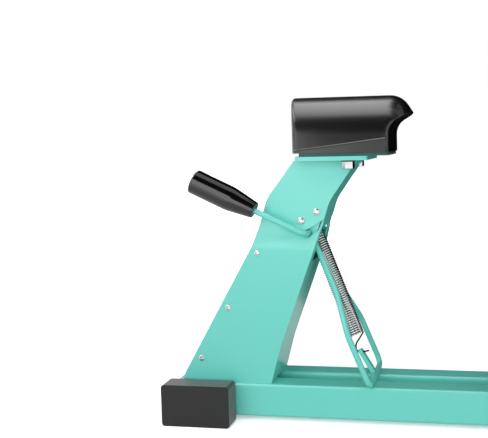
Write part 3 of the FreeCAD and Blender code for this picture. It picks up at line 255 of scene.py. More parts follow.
@dataclass(frozen=True)
class Finish:
    """One finish: its base colour, gloss and fine relief.

    The colour is linear light. relief is the depth of the fine relief in millimetres, grain_mm its size
    and stretch how many times finer it is along each axis.
    """

    name: str
    colour: Colour
    roughness: float
    metallic: float = 0.0
    specular: float = 0.5
    coat: float = 0.0
    coat_roughness: float = 0.05
    sheen: float = 0.0
    sheen_roughness: float = 0.3
    stretch: Point = (1.0, 1.0, 1.0)
    grain_mm: float = 1.2
    relief: float = 0.01
    mottling: float = 0.06
    patches: float = 0.04
    # Painted shade on the inner side of a spring's wire, or None.
    coil: Coil | None = None

    @functools.cache
    def material(self) -> Material:
        """Returns the finish's material, which is built once."""
        made = bpy.data.materials.new(self.name)
        made.diffuse_color = (*self.colour, 1.0)
        graph = with_nodes(made)
        surface = graph.add("Group", {
            "Colour": (*self.colour, 1.0), "Gloss": self.roughness, "Scale": 1.0 / (self.grain_mm * MM),
            "Stretch": self.stretch, "Mottling": self.mottling, "Patches": self.patches},
            node_tree=NodeGroups.surface()).outputs
        relief = graph.add("Bump", {"Distance": self.relief * MM, "Height": surface["Height"]})
        colour = surface["Shade"]
        graph.feed(graph.tree.nodes["Principled BSDF"], {
            "Metallic": self.metallic, "Specular IOR Level": self.specular, "Coat Weight": self.coat,
            "Coat Roughness": self.coat_roughness, "Sheen Weight": self.sheen,
            "Sheen Roughness": self.sheen_roughness, "Roughness": surface["Roughness"],
            "Base Color": self.coil.shade(graph, colour) if self.coil else colour,
            "Normal": relief.outputs["Normal"]})
        return made


class Palette:
    """The press's finishes."""

    PAINT = Finish("Mint powder coat", (0.176, 0.745, 0.65), 0.34, coat=0.25, coat_roughness=0.12,
                   grain_mm=1.6, relief=0.012, mottling=0.05)
    CAP_RUBBER = Finish("End cap rubber", (0.014, 0.014, 0.014), 0.4, sheen=1.0, sheen_roughness=0.32,
                        grain_mm=0.7)
    SILICONE = Finish("Moulded silicone", (0.004, 0.004, 0.0042), 0.28, specular=0.7, grain_mm=0.6,
                      relief=0.006)
    GRIP = Finish("Gloss black handle", (0.004, 0.004, 0.004), 0.1, coat=0.5, coat_roughness=0.04,
                  grain_mm=3.0, relief=0.004, mottling=0.0, patches=0.0)
    ZINC = Finish("Bright zinc", (0.72, 0.72, 0.74), 0.2, metallic=1.0, grain_mm=0.35, relief=0.006,
                  mottling=0.12, patches=0.1)
    # The spring wire's inner side is painted dark: painted shade between the coils, while the outer side
    # keeps the bright steel.
    SPRING = Finish("Spring wire", (0.8, 0.78, 0.77), 0.11, metallic=1.0, grain_mm=0.4, relief=0.004,
                    mottling=0.1, coil=Coil((134.7, 0.0, 231.0), (184.7, 0.0, 97.6), 9.1, 9.35,
                                            (0.01, 0.009, 0.009)))
    ARM_SPRING = Finish("Torsion spring wire", (0.3, 0.3, 0.3), 0.24, metallic=1.0, grain_mm=0.4,
                        relief=0.004)
    STEEL = Finish("Ground steel", (0.56, 0.57, 0.58), 0.22, metallic=1.0, stretch=(1.0, 0.04, 1.0),
                   grain_mm=0.3, relief=0.006, mottling=0.1)
    BLACK_STEEL = Finish("Black oxide", (0.02, 0.024, 0.024), 0.4, grain_mm=0.6, mottling=0.2)
    # The mint paint darkened about seven times, as painted shade on the plate that lies in the shadow under
    # the pad.
    SHADED_MINT = Finish("Base plate paint", (0.024, 0.11, 0.098), 0.4, grain_mm=0.8, mottling=0.1)
    BRONZE = Finish("Bush bronze", (0.42, 0.25, 0.09), 0.32, metallic=1.0, grain_mm=0.4, relief=0.008)
    CAST = Finish("Cast aluminium", (0.44, 0.44, 0.45), 0.48, metallic=1.0, grain_mm=1.4, relief=0.03,
                  mottling=0.1)
    PLATEN_COAT = Finish("Non-stick coat", (0.035, 0.036, 0.038), 0.28, grain_mm=0.5, relief=0.008,
                         mottling=0.25)
    FOAM = Finish("Sleeve foam", (0.014, 0.014, 0.014), 0.8, grain_mm=0.9, relief=0.09, mottling=0.35)
    ELEMENT = Finish("Element silicone", (0.36, 0.07, 0.035), 0.5, grain_mm=0.8, relief=0.02, mottling=0.2)
    FELT = Finish("Insulation felt", (0.55, 0.5, 0.42), 0.95, grain_mm=0.5, relief=0.12, mottling=0.4)
    HOUSING = Finish("Black powder coat", (0.022, 0.022, 0.024), 0.38, grain_mm=1.0, relief=0.03,
                     mottling=0.15)
    WINDOW = Finish("Display window", (0.006, 0.007, 0.009), 0.05, coat=0.5, coat_roughness=0.02,
                    grain_mm=4.0, relief=0.002, mottling=0.0)
    BOARD = Finish("Board laminate", (0.012, 0.11, 0.04), 0.4, grain_mm=0.6, relief=0.006, mottling=0.15)
    BUTTON = Finish("Button plastic", (0.42, 0.44, 0.45), 0.36, grain_mm=0.6, relief=0.008)
    SWITCH = Finish("Switch plastic", (0.008, 0.008, 0.008), 0.16, grain_mm=1.0, relief=0.004)


def welded(mesh: Mesh) -> BMesh:
    """Returns a CAD node's mesh as a bmesh in metres, with its loose triangles joined."""
    body = bmesh.new()
    body.from_mesh(mesh)
    bmesh.ops.remove_doubles(body, verts=body.verts, dist=WELD)
    return body


def merged_copy(node: Object) -> BMesh:
    """Returns a CAD node's mesh as a bmesh in metres, joined and without edges inside its flat faces."""
    body = welded(node.data)
    bmesh.ops.dissolve_degenerate(body, edges=body.edges, dist=TINY)
    bmesh.ops.dissolve_limit(body, angle_limit=math.radians(0.4), verts=body.verts, edges=body.edges)
    return body


def bevelled(body: BMesh, edges: Sequence[BMEdge], width: float, segments: int = 2) -> None:
    """Rounds or chamfers edges by a width in millimetres."""
    bmesh.ops.bevel(body, geom=list(edges), offset=width * MM, offset_type="OFFSET", segments=segments,
                    profile=0.5, affect="EDGES", clamp_overlap=True, material=-1, harden_normals=False)


def round_edges(body: BMesh, width: float, segments: int, sharp_from: float = 30.0,
                chosen: Callable[[BMEdge], bool] | None = None) -> None:
    """Rounds a mesh's sharp edges.

    Args:
        body: The mesh, in metres.
        width: The rounding's width in millimetres.
        segments: How many faces each rounding has.
        sharp_from: The angle in degrees from which an edge counts as sharp.
        chosen: Picks among the sharp edges, or None for all.
    """
    limit = math.radians(sharp_from)
    bevelled(body, [e for e in body.edges if e.is_manifold and e.calc_face_angle(0.0) > limit
                    and (chosen is None or chosen(e))], width, segments)
    bmesh.ops.remove_doubles(body, verts=body.verts, dist=TINY)


def extruded(body: BMesh, faces: Sequence[BMFace]) -> list[BMVert]:
    """Extrudes faces in place into a closed form, and returns the new vertices."""
    made = bmesh.ops.extrude_face_region(body, geom=list(faces), use_keep_orig=True)["geom"]
    return [v for v in made if isinstance(v, BMVert)]


def finished_object(name: str, body: BMesh, finish: Finish, degrees: float = 32.0) -> Object:
    """Turns a bmesh into an object of the scene with its finish.

    Args:
        name: The object's name.
        body: The mesh, in metres, which is freed.
        finish: Its finish.
        degrees: The angle past which its edges are shaded sharp.

    Returns:
        The object, at the origin.
    """
    bmesh.ops.triangulate(body, faces=[f for f in body.faces if len(f.verts) > 4])
    mesh = mesh_of(name, body)
    mesh.polygons.foreach_set("use_smooth", [True] * len(mesh.polygons))
    mesh.set_sharp_from_angle(angle=math.radians(degrees))
    mesh.update()
    made = linked(name, mesh)
    mesh.materials.append(finish.material())
    even = made.modifiers.new("Even shading", "WEIGHTED_NORMAL")
    even.keep_sharp, even.weight = True, 50
    return made


def turned(profile: Sequence[Flat], steps: int) -> BMesh:
    """Spins a profile about Z.

    Args:
        profile: Points of radius and height in millimetres, from the lower end of the axis to the upper.
            An end on the axis closes the form.
        steps: How many faces go round.

    Returns:
        The closed form as a bmesh, in metres.
    """
    body = bmesh.new()
    points = [body.verts.new(Vector((radius, 0.0, height)) * MM) for radius, height in profile]
    edges = [body.edges.new(pair) for pair in zip(points, points[1:])]
    bmesh.ops.spin(body, geom=points + edges, cent=(0, 0, 0), axis=(0, 0, 1), angle=math.tau, steps=steps,
                   use_merge=True, use_duplicate=False)
    bmesh.ops.remove_doubles(body, verts=body.verts, dist=TINY / 2)
    bmesh.ops.recalc_face_normals(body, faces=body.faces)
    return body


def pointing(direction: Vector, origin: Vector) -> Matrix:
    """Returns the matrix that turns +Z to a direction and moves the origin to a point, in metres."""
    turn = direction.normalized().to_track_quat("Z", "Y").to_matrix().to_4x4()
    return Matrix.Translation(origin) @ turn


def rounded_run(points: Sequence[Flat], rounds: dict[int, float], steps: int) -> list[Flat]:
    """Rounds chosen corners of a profile with arcs.

    Args:
        points: The corners as (radius, height).
        rounds: The arc's radius at each corner that is rounded, by its place in points.
        steps: How many spans each arc has.

    Returns:
        The profile with its arcs.
    """
    out: list[Flat] = []
    for i, corner in enumerate(points):
        if i not in rounds:
            out.append(corner)
            continue
        here = Vector(corner)
        back, ahead = ((Vector(points[k]) - here).normalized() for k in (i - 1, i + 1))
        half = back.angle(ahead) / 2
        reach = rounds[i] / math.tan(half)
        middle = here + (back + ahead).normalized() * (rounds[i] / math.sin(half))
        first, last = here + back * reach - middle, here + ahead * reach - middle
        for k in range(steps + 1):
            spoke = first.lerp(last, k / steps).normalized() * rounds[i]
            out.append(tuple(middle + spoke))
    return out


@dataclass
class SubAssembly:
    """What every sub-assembly shares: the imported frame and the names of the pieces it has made."""

    frame: dict
    made: list[str] = field(default_factory=list)

    def __post_init__(self) -> None:
        """Looks up the nodes, and each node's body and material slot."""
        record = self.frame["record"]
        self.nodes: dict[str, Object] = self.frame["nodes"]
        self.body_of = {node: body for body, nodes in record["behaviour"]["bodies"].items()
                        for node in nodes}
        self.slot_of = {row["node"]: row["material_slot"] for row in record["subparts"]}

    def stand_in(self, piece: Object, node: str) -> None:
        """Lets a new piece stand for a CAD node, whose own mesh is hidden."""
        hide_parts(node)
        self.made.append(piece.name)

    def keep(self, piece: Object, node: str) -> None:
        """Lets a new piece stand for a CAD node and ride on its body."""
        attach(piece, self.body_of[node])
        self.stand_in(piece, node)

    def dress(self, finish: Finish, *names: str, edge: float = 0.0, segments: int = 2) -> None:
        """Gives CAD nodes their finish, and where asked for rounds their edges on a copy.

        Args:
            finish: The finish.
            names: The nodes.
            edge: The width of the rounded edges in millimetres, or 0 to keep the nodes themselves.
            segments: How many faces each rounding has.
        """
        for name in names:
            node = self.nodes[name]
            if edge > 0:
                body = merged_copy(node)
                round_edges(body, edge, segments)
                self.keep(finished_object(f"{name}_finished", body, finish), name)
            else:
                node.data.materials.clear()
                node.data.materials.append(finish.material())
                self.made.append(name)


@dataclass
class BaseFrame(SubAssembly):
    """The cross feet, the rails and the rubber end caps."""

    cap_round: float = 3.4
    outer_share: float = 0.97
    tube_edge: float = 0.5

    def build(self) -> None:
        """Builds the base's pieces."""
        self.dress(Palette.PAINT, "front_foot", "rear_foot", "rail_near", "rail_far", edge=self.tube_edge)
        for end in ("front", "rear"):
            for side in ("near", "far"):
                self.end_cap(f"foot_cap_{end}_{side}")

    def end_cap(self, node: str) -> None:
        """Builds the rubber end cap that stands for a CAD node, with its outer edges rounded."""
        low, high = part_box(node)
        middle, half = (low + high) / 2, (high - low) / 2
        body = merged_copy(self.nodes[node])

        def outside(edge: BMEdge) -> bool:
            """Whether both ends of an edge lie on the cap's outer box."""
            return min(max(abs(v.co.x - middle.x) / half.x, abs(v.co.z - middle.z) / half.z)
                       for v in edge.verts) > self.outer_share

        round_edges(body, self.cap_round, 5, 40.0, outside)
        self.keep(finished_object(f"{node}_moulded", body, Palette.CAP_RUBBER, 40.0), node)


@dataclass
class Stand(SubAssembly):
    """The sheet metal stand with its cover, webs and screws."""

    sheet_edge: float = 0.7

    def build(self) -> None:
        """Builds the stand's pieces."""
        self.dress(Palette.PAINT, "stand_side_near", "stand_side_far", "stand_back_web", "neck_front_web",
                   "front_cover", "stand_base_plate", edge=self.sheet_edge)
        self.dress(Palette.ZINC, "stand_bolts")
        Screws(self, "cover_screws", radius=3.5, height=1.8).build()


@dataclass
class Screws:
    """Pan heads with a cross recess, standing for a group of plain ones that lie along Y.

    The rim and the recess are shares of the head's height, and seat, arm and half of its radius.
    """

    owner: SubAssembly
    node: str
    radius: float
    height: float
    rim: float = 0.3
    seat: float = 0.96
    sunk: float = 0.6
    recess: float = 0.8
    arm: float = 0.7
    half: float = 0.24
    taper: float = 0.6
    above: float = 0.5
    dome_steps: int = 8
    sides: int = 40

    def head(self) -> Mesh:
        """Builds one head, on Z with its seat at 0, and cuts its recess."""
        rim = self.height * self.rim
        corners = [(0.0, -self.sunk), (self.radius * self.seat, -self.sunk), (self.radius, 0.0),
                   (self.radius, rim)]
        for k in range(1, self.dome_steps + 1):
            angle = math.radians(90 * k / self.dome_steps)
            corners.append((self.radius * math.cos(angle), rim + (self.height - rim) * math.sin(angle)))
        return cut_mesh(mesh_of("Head", turned(corners, self.sides)), mesh_of("Cross", self.cross()))

    def cross(self) -> BMesh:
        """Builds the tapered cross that cuts the recess."""
        arm, half = self.radius * self.arm, self.radius * self.half
        quarter = [(half, half), (arm, half), (arm, -half)]
        outline = [(x * c + y * s, y * c - x * s) for c, s in ((1, 0), (0, 1), (-1, 0), (0, -1))
                   for x, y in quarter]
        top = self.height + self.above
        cutter = bmesh.new()
        face = cutter.faces.new([cutter.verts.new(Vector((x, y, top)) * MM) for x, y in outline])
        floor = extruded(cutter, [face])
        bmesh.ops.scale(cutter, verts=floor, vec=(self.taper, self.taper, 1.0))
        for vert in floor:
            vert.co.z = self.height * (1 - self.recess) * MM
        bmesh.ops.recalc_face_normals(cutter, faces=cutter.faces)
        return cutter

    def places(self) -> list[tuple[Vector, Vector, Vector]]:
        """Returns each screw's centre, the direction out of the press and its head's seat, in metres."""
        body = welded(self.owner.nodes[self.node].data)
        found = []
        for group in islands(body):
            low, high = (Vector(pick(v.co[i] for v in group) for i in range(3)) for pick in (min, max))
            centre = (low + high) / 2
            side = 1.0 if centre.y > 0 else -1.0
            face = high.y if side > 0 else low.y
            seat = Vector((centre.x, face - side * self.height * MM, centre.z))
            found.append((centre, Vector((0, side, 0)), seat))
        body.free()
        return sorted(found, key=lambda row: tuple(row[0]))

    def build(self) -> None:
        """Places a head on each solid of the group, outer end out, each turned a little differently."""
        head = self.head()
        body = bmesh.new()
        for centre, outward, seat in self.places():
            spin = Matrix.Rotation(centre.x * 90 + centre.z * 60, 4, "Z")
            start = len(body.verts)
            body.from_mesh(head)
            body.verts.ensure_lookup_table()
            bmesh.ops.transform(body, verts=body.verts[start:], matrix=pointing(outward, seat) @ spin)
        self.owner.keep(finished_object(f"{self.node}_cross", body, Palette.ZINC, 30.0), self.node)


def evaluated(item: Object) -> Mesh:
    """Returns a new mesh with an object's modifiers applied."""
    return bpy.data.meshes.new_from_object(item.evaluated_get(bpy.context.evaluated_depsgraph_get()))


def remeshed(body: BMesh, voxel: float) -> BMesh:
    """Returns a closed form, which is freed, with an even mesh of faces of a size in millimetres."""
    item = linked("Even", mesh_of("Even", body))
    change = item.modifiers.new("Even", "REMESH")
    change.mode, change.voxel_size, change.adaptivity = "VOXEL", voxel * MM, 0.0
    result = evaluated(item)
    bpy.data.objects.remove(item)
    even = bmesh.new()
    even.from_mesh(result)
    bpy.data.meshes.remove(result)
    return even


def cut_mesh(base: Mesh, tool: Mesh) -> Mesh:
    """Returns a closed mesh with another one, the tool, cut out of it."""
    first, second = (linked(mesh.name, mesh) for mesh in (base, tool))
    change = first.modifiers.new("Cut", "BOOLEAN")
    change.operation, change.object, change.solver = "DIFFERENCE", second, "EXACT"
    result = evaluated(first)
    for item in (first, second):
        bpy.data.objects.remove(item)
    return result


def islands(body: BMesh) -> list[list[BMVert]]:
    """Returns the vertices of each separate solid in a mesh."""
    left = set(body.verts)
    found = []
    while left:
        stack, group = [left.pop()], []
        while stack:
            vert = stack.pop()
            group.append(vert)
            for edge in vert.link_edges:
                other = edge.other_vert(vert)
                if other in left:
                    left.remove(other)
                    stack.append(other)
        found.append(group)
    return found


@dataclass
class LowerPlaten(SubAssembly):
    """The moulded lower platen with its plates, bolts and washers.

    The pad is an arch across the press whose right end droops into a beak over a cove. Below a slanting
    shoulder each of its sides has a panel that leans in.
    """

    pad_half: float = 45.0
    arch: float = 44.0
    seat_top: float = 322.0
    pad_top: float = 388.6
    nose_x: float = 113.5
    nose_round: float = 112.0
    nose_corner_x: float = 123.0
    droop_start: float = 232.3
    droop_round: float = 25.0
    droop_angle: float = math.radians(57.6)
    tip_x: float = 260.4
    end_x: float = 236.7
    end_bow: float = 2.5
    end_corner: float = 3.0
    cove_z: float = 342.5
    cove_round: float = 20.0
    cove_angle: float = math.radians(28.5)
    deeper: float = 8.0
    voxel: float = 1.25
    grid: tuple[int, int] = (72, 48)
    under_share: float = 0.6
    end_share: float = 0.8
    softened: int = 12
    softened_all: int = 3
    cove_clear: float = 4.0
    shoulder_from: Flat = (128.0, 325.6)
    shoulder_to: Flat = (240.7, 338.7)
    shoulder_end_x: float = 231.0
    side_share: float = 0.94
    panel_lean: float = 0.1
    ridge: float = 0.8
    ridge_width: float = 1.2
    end_reach: float = 0.05
    head_height: float = 8.4
    head_chamfer: float = 1.2
    head_turn: float = -0.17
    flat_edge: float = 0.9
    thread: float = 4.0
    thread_chamfer: float = 0.4
    thread_sides: int = 24
    level: float = 0.01

    def build(self) -> None:
        """Builds the lower platen's pieces."""
        self.pad()
        self.dress(Palette.CAST, "platen_core")
        # The base plate takes the mint paint darkened as painted shade.
        self.dress(Palette.SHADED_MINT, "platen_base_plate", edge=0.5)
        self.dress(Palette.PAINT, "platen_flange", edge=0.8)
        self.dress(Palette.BLACK_STEEL, "platen_washers", edge=0.3)
        self.bolts()

    def bolts(self) -> None:
        """Builds the two hexagon bolts under the flange, each with a chamfered head and its threaded end."""
        low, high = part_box("platen_bolts")
        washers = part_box("platen_washers")[0].z
        half, tip = (high.x - low.x) / 2, washers - self.head_height * MM
        inset = half * math.sin(math.radians(60))
        body = bmesh.new()
        for side in (low.y + inset, high.y - inset):
            centre = Vector(((low.x + high.x) / 2, side, 0))
            ring, _ = self.prism(body, 6, half, centre, (tip, washers), self.head_turn)
            bevelled(body, {e for v in ring for e in v.link_edges} - self.level_edges(ring), self.flat_edge)
            lowest = [e for e in body.edges if max(abs(v.co.z - tip) for v in e.verts) < self.level * MM]
            bevelled(body, lowest, self.head_chamfer)
            _, top = self.prism(body, self.thread_sides, self.thread * MM, centre, (washers, high.z))
            bevelled(body, self.level_edges(top), self.thread_chamfer)
        bmesh.ops.recalc_face_normals(body, faces=body.faces)
        self.keep(finished_object("platen_bolts_hexagon", body, Palette.ZINC, 25.0), "platen_bolts")

    @staticmethod
    def prism(body: BMesh, sides: int, radius: float, centre: Vector, ends: Flat, turn: float = 0.0
              ) -> tuple[list[BMVert], list[BMVert]]:
        """Adds an upright prism to a mesh, in metres.

        Args:
            body: The mesh.
            sides: How many sides the prism has.
            radius: The distance of its corners from its axis.
            centre: The axis's X and Y, with a Z of 0.
            ends: The heights of its two ends.
            turn: How far it is turned about its axis, in radians.

        Returns:
            The vertices of its lower end and those of its upper end.
        """
        ring = bmesh.ops.create_circle(body, cap_ends=True, radius=radius, segments=sides)["verts"]
        upper = extruded(body, [ring[0].link_faces[0]])
        for verts, height in zip((ring, upper), ends):
            for vert in verts:
                vert.co = Matrix.Rotation(turn, 3, "Z") @ vert.co + centre + Vector((0, 0, height))
        return ring, upper

    def level_edges(self, verts: Sequence[BMVert]) -> set[BMEdge]:
        """Returns the level edges at some vertices."""
        return {e for v in verts for e in v.link_edges
                if abs(e.verts[0].co.z - e.verts[1].co.z) < self.level * MM}

    def top_at(self, x: float) -> float:
        """Returns the height of the pad's ridge at a place along X."""
        along = x - self.droop_start
        if along <= 0:
            return self.pad_top
        bend = self.droop_round * math.sin(self.droop_angle)
        if along <= bend:
            return self.pad_top - self.droop_round + math.sqrt(self.droop_round ** 2 - along ** 2)
        foot = self.pad_top - self.droop_round * (1 - math.cos(self.droop_angle))
        return foot - (along - bend) * math.tan(self.droop_angle)

    def cove_at(self, x: float) -> float:
        """Returns the height of the cove under the beak at a place along X."""
        near = min(x, self.end_x + self.cove_round * (1 - math.sin(self.cove_angle)))
        height = self.cove_z + math.sqrt(self.cove_round ** 2 - (self.end_x + self.cove_round - near) ** 2)
        return height + (x - near) * math.tan(self.cove_angle)

    def fall_at(self, across: float) -> float:
        """Returns how far the arch has fallen from the ridge at a distance from the middle."""
        over = min(max(across - (self.pad_half - self.arch), 0.0), self.arch)
        return self.arch - math.sqrt(self.arch ** 2 - over ** 2)

    def nose_at(self, across: float) -> float:
        """Returns where along X the pad's nose lies at a distance from the middle."""
        bend = self.nose_x + self.nose_round - math.sqrt(self.nose_round ** 2 - across ** 2)
        return min(bend, self.nose_corner_x)

    def beak_at(self, across: float) -> float:
        """Returns where along X the arch meets the cove at a distance from the middle."""
        low, high = self.end_x, self.tip_x
        for _ in range(24):
            middle = (low + high) / 2
            if self.top_at(middle) - self.fall_at(across) > self.cove_at(middle):
                low = middle
            else:
                high = middle
        return low

    def drawn_back(self, x: float, across: float) -> float:
        """Returns x moved back where the pad's right end bows towards its two corners."""
        corner = min(max(across - (self.pad_half - self.end_corner), 0.0), self.end_corner)
        back = self.end_bow * (across / self.pad_half) ** 2
        back += self.end_corner - math.sqrt(self.end_corner ** 2 - corner ** 2)
        share = min(max((x - self.droop_start + self.droop_round) / self.droop_round, 0.0), 1.0)
        return x - back * share

    def pad_skin(self) -> BMesh:
        """Builds the pad's closed form, a little deeper than the pad: an arched skin and one below it."""
        body = bmesh.new()
        bmesh.ops.create_grid(body, x_segments=self.grid[0], y_segments=self.grid[1], size=1.0)
        bmesh.ops.recalc_face_normals(body, faces=body.faces)
        spots = [(vert, (vert.co.x + 1) / 2, vert.co.y) for vert in body.verts]
        copies = {(round(v.co.x, 5), round(v.co.y, 5)): v for v in extruded(body, body.faces[:])}
        floor, under, end = self.seat_top - self.deeper, self.under_share, self.end_share
        for vert, u, v in spots:
            twin = copies[(round(vert.co.x, 5), round(vert.co.y, 5))]
            y = self.pad_half * math.sin(v * math.pi / 2)
            across = abs(y)
            nose, beak = self.nose_at(across), self.beak_at(across)
            x = nose + (beak - nose) * u
            vert.co = place(self.drawn_back(x, across), y, self.top_at(x) - self.fall_at(across))
            if u <= under:
                x, z = nose + (self.end_x - nose) * u / under, floor
            elif u <= end:
                x, z = self.end_x, floor + (self.cove_z - floor) * (u - under) / (end - under)
            else:
                x = self.end_x + (beak - self.end_x) * ((u - end) / (1 - end)) ** 2
                z = self.cove_at(x)
            twin.co = place(self.drawn_back(x, across), y, z)
        bmesh.ops.remove_doubles(body, verts=body.verts, dist=CUT)
        bmesh.ops.recalc_face_normals(body, faces=body.faces)
        return body

    def pad(self) -> None:
        """Builds the silicone pad, with soft edges and its side panels."""
        body = remeshed(self.pad_skin(), self.voxel)
        for turn in range(self.softened):
            soft = [v for v in body.verts
                    if turn < self.softened_all or self.away_from_cove(v.co) > self.cove_clear]
            bmesh.ops.smooth_vert(body, verts=soft, factor=0.5, use_axis_x=True, use_axis_y=True,
                                  use_axis_z=True)
        everything = body.verts[:] + body.edges[:] + body.faces[:]
        bmesh.ops.bisect_plane(body, geom=everything, plane_co=place(0, 0, self.seat_top),
                               plane_no=(0, 0, 1), dist=CUT, clear_inner=True)
        bmesh.ops.holes_fill(body, edges=[e for e in body.edges if e.is_boundary], sides=0)
        self.side_panels(body)
        self.keep(finished_object("platen_pad_moulded", body, Palette.SILICONE, 24.0), "platen_pad")

    def away_from_cove(self, spot: Vector) -> float:
        """Returns a point's distance from the cove in millimetres, or a lot where it isn't near."""
        x, z = spot.x / MM + FOOT_PITCH / 2, spot.z / MM
        if x < self.end_x - self.cove_round / 2 or z < self.cove_z:
            return self.cove_round
        return abs(z - self.cove_at(min(max(x, self.end_x), self.tip_x)))

    def side_panels(self, body: BMesh) -> None:
        """Cuts the shoulder line into both sides, raises a ridge on it and leans in the panel below it."""
        start, stop = (place(x, 0, z) for x, z in (self.shoulder_from, self.shoulder_to))
        run = (stop - start).normalized()
        normal = Vector((-run.z, 0, run.x))
        side = self.pad_half * self.side_share * MM
        end = place(self.shoulder_end_x, 0, 0)
        for point, direction in ((start, normal), (start + normal * self.ridge_width * MM, normal),
                                 (start - normal * self.ridge * MM, normal), (end, Vector((1, 0, 0)))):
            faces = [f for f in body.faces if abs(f.calc_center_median().y) > side]
            geom = list({v for f in faces for v in f.verts} | {e for f in faces for e in f.edges}) + faces
            bmesh.ops.bisect_plane(body, geom=geom, plane_co=point, plane_no=direction, dist=CUT)
        for vert in body.verts:
            if vert.co.x > end.x + self.end_reach * MM or abs(vert.co.y) < side:
                continue
            above = (vert.co - start).dot(normal)
            reach = (self.ridge_width if above > 0 else self.ridge) * MM
            rise = self.ridge * MM * max(1 - abs(above) / reach, 0.0) + self.panel_lean * min(above, 0.0)
            vert.co.y += math.copysign(1.0, vert.co.y) * rise


@dataclass
class Tensioner(SubAssembly):
    """The cap tensioner: bent rod, grip, lug and extension spring.

    The grip's places are distances from the lever's pivot.
    """

    grip_start: float = 67.5
    grip_end: float = 150.0
    grip_thin: float = 9.8
    grip_thick: float = 14.8
    grip_taper_from: float = 100.0
    grip_rounds: tuple[float, float, float] = (1.0, 55.0, 1.6)
    grip_arc_steps: int = 8
    grip_sides: int = 64
    wire_more: float = 0.2
    bend_from: Point = (129.0, 0.0, 246.5)
    bend_to: Point = (134.0, 0.0, 230.0)

    def build(self) -> None:
        """Builds the tensioner's pieces."""
        self.dress(Palette.PAINT, "pivot_bracket", edge=0.5)
        self.dress(Palette.PAINT, "spring_lug", edge=0.8)
        self.dress(Palette.ZINC, "spring_anchor")
        self.keep(self.smooth("tension_bail", Palette.PAINT), "tension_bail")
        self.spring()
        Screws(self, "pivot_bolts", radius=4.25, height=2.2).build()
        self.grip()

    def spring(self) -> None:
        """Builds a smooth copy of the spring with a fatter wire, fixed in place and riding on no body."""
        piece = self.smooth("tension_spring", Palette.SPRING, self.wire_more)
        self.stand_in(piece, "tension_spring")
        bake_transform(piece)

    def smooth(self, node: str, finish: Finish, more: float = 0.0) -> Object:
        """Returns a smooth copy of a round CAD node, its radius larger by more millimetres."""
        body = welded(self.nodes[node].data)
        for vert, outward in [(v, v.normal.copy()) for v in body.verts]:
            vert.co += outward * more * MM
        return finished_object(f"{node}_smooth", body, finish, 45.0)

    def grip(self) -> None:
        """Builds the gloss grip, turned along the lever from its thin end to its thick one."""
        joint = next(j for j in self.frame["joints"] if j["name"] == "tensioner_pivot")
        pivot = Vector(joint["pos_m"])
        low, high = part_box("lever_grip")
        middle = (low + high) / 2
        along = Vector((middle.x - pivot.x, 0, middle.z - pivot.z)).normalized()
        corners = [(0.0, self.grip_start), (self.grip_thin, self.grip_start),
                   (self.grip_thick, self.grip_taper_from), (self.grip_thick, self.grip_end),
                   (0.0, self.grip_end)]
        rounds = dict(enumerate(self.grip_rounds, 1))
        body = turned(rounded_run(corners, rounds, self.grip_arc_steps), self.grip_sides)
        start = Vector((pivot.x, middle.y, pivot.z))
        bmesh.ops.transform(body, verts=body.verts, matrix=pointing(along, start))
        self.keep(finished_object("lever_grip_turned", body, Palette.GRIP, 30.0), "lever_grip")


@dataclass
class HingeTower(SubAssembly):
    """The tower that carries the hinge of the upper arm."""

    def build(self) -> None:
        """Builds the tower's pieces."""
        self.dress(Palette.PAINT, "tower_base", "tower_plate_near", "tower_plate_far", "tower_back", edge=0.8)
        self.dress(Palette.ZINC, "tower_bolts", edge=0.4)
        self.dress(Palette.STEEL, "hinge_pin", edge=0.8)
        self.dress(Palette.STEEL, "link_pins", edge=0.6)


@dataclass
class UpperArm(SubAssembly):
    """The upper arm, the main lever, the toggle links and the pressure screw."""

    def build(self) -> None:
        """Builds the arm's pieces."""
        self.dress(Palette.PAINT, "upper_arm", "main_lever", "toggle_links", edge=0.7)
        self.dress(Palette.BRONZE, "hinge_bushes", edge=0.2)
        self.dress(Palette.STEEL, "lever_pin", edge=0.5)
        self.dress(Palette.ARM_SPRING, "arm_springs")
        self.dress(Palette.FOAM, "handle_sleeves", edge=2.5, segments=4)
        self.dress(Palette.STEEL, "pressure_screw")
        self.dress(Palette.GRIP, "pressure_knob", edge=1.4, segments=3)


@dataclass
class UpperPlaten(SubAssembly):
    """The heated upper platen in its housing."""

    def build(self) -> None:
        """Builds the upper platen's pieces."""
        self.dress(Palette.BLACK_STEEL, "platen_yoke", edge=0.6)
        self.dress(Palette.ZINC, "yoke_screws", edge=0.3)
        self.dress(Palette.HOUSING, "heater_housing", edge=0.6)
        self.dress(Palette.FELT, "insulation_pad")
        self.dress(Palette.ELEMENT, "heating_element")
        self.dress(Palette.PLATEN_COAT, "hot_platen", edge=1.2, segments=3)


@dataclass
class ControlBox(SubAssembly):
    """The control box on the rails."""

    def build(self) -> None:
        """Builds the control box's pieces."""
        self.dress(Palette.PAINT, "box_base", edge=0.5)
        self.dress(Palette.HOUSING, "box_cover", edge=0.5)
        self.dress(Palette.WINDOW, "display_window", edge=0.4)
        self.dress(Palette.BOARD, "circuit_board")
        self.dress(Palette.SWITCH, "power_switch", edge=0.5)
        self.dress(Palette.SWITCH, "mains_inlet", edge=0.4)
        self.dress(Palette.BUTTON, "button_down", "button_set", "button_up", edge=0.6, segments=3)


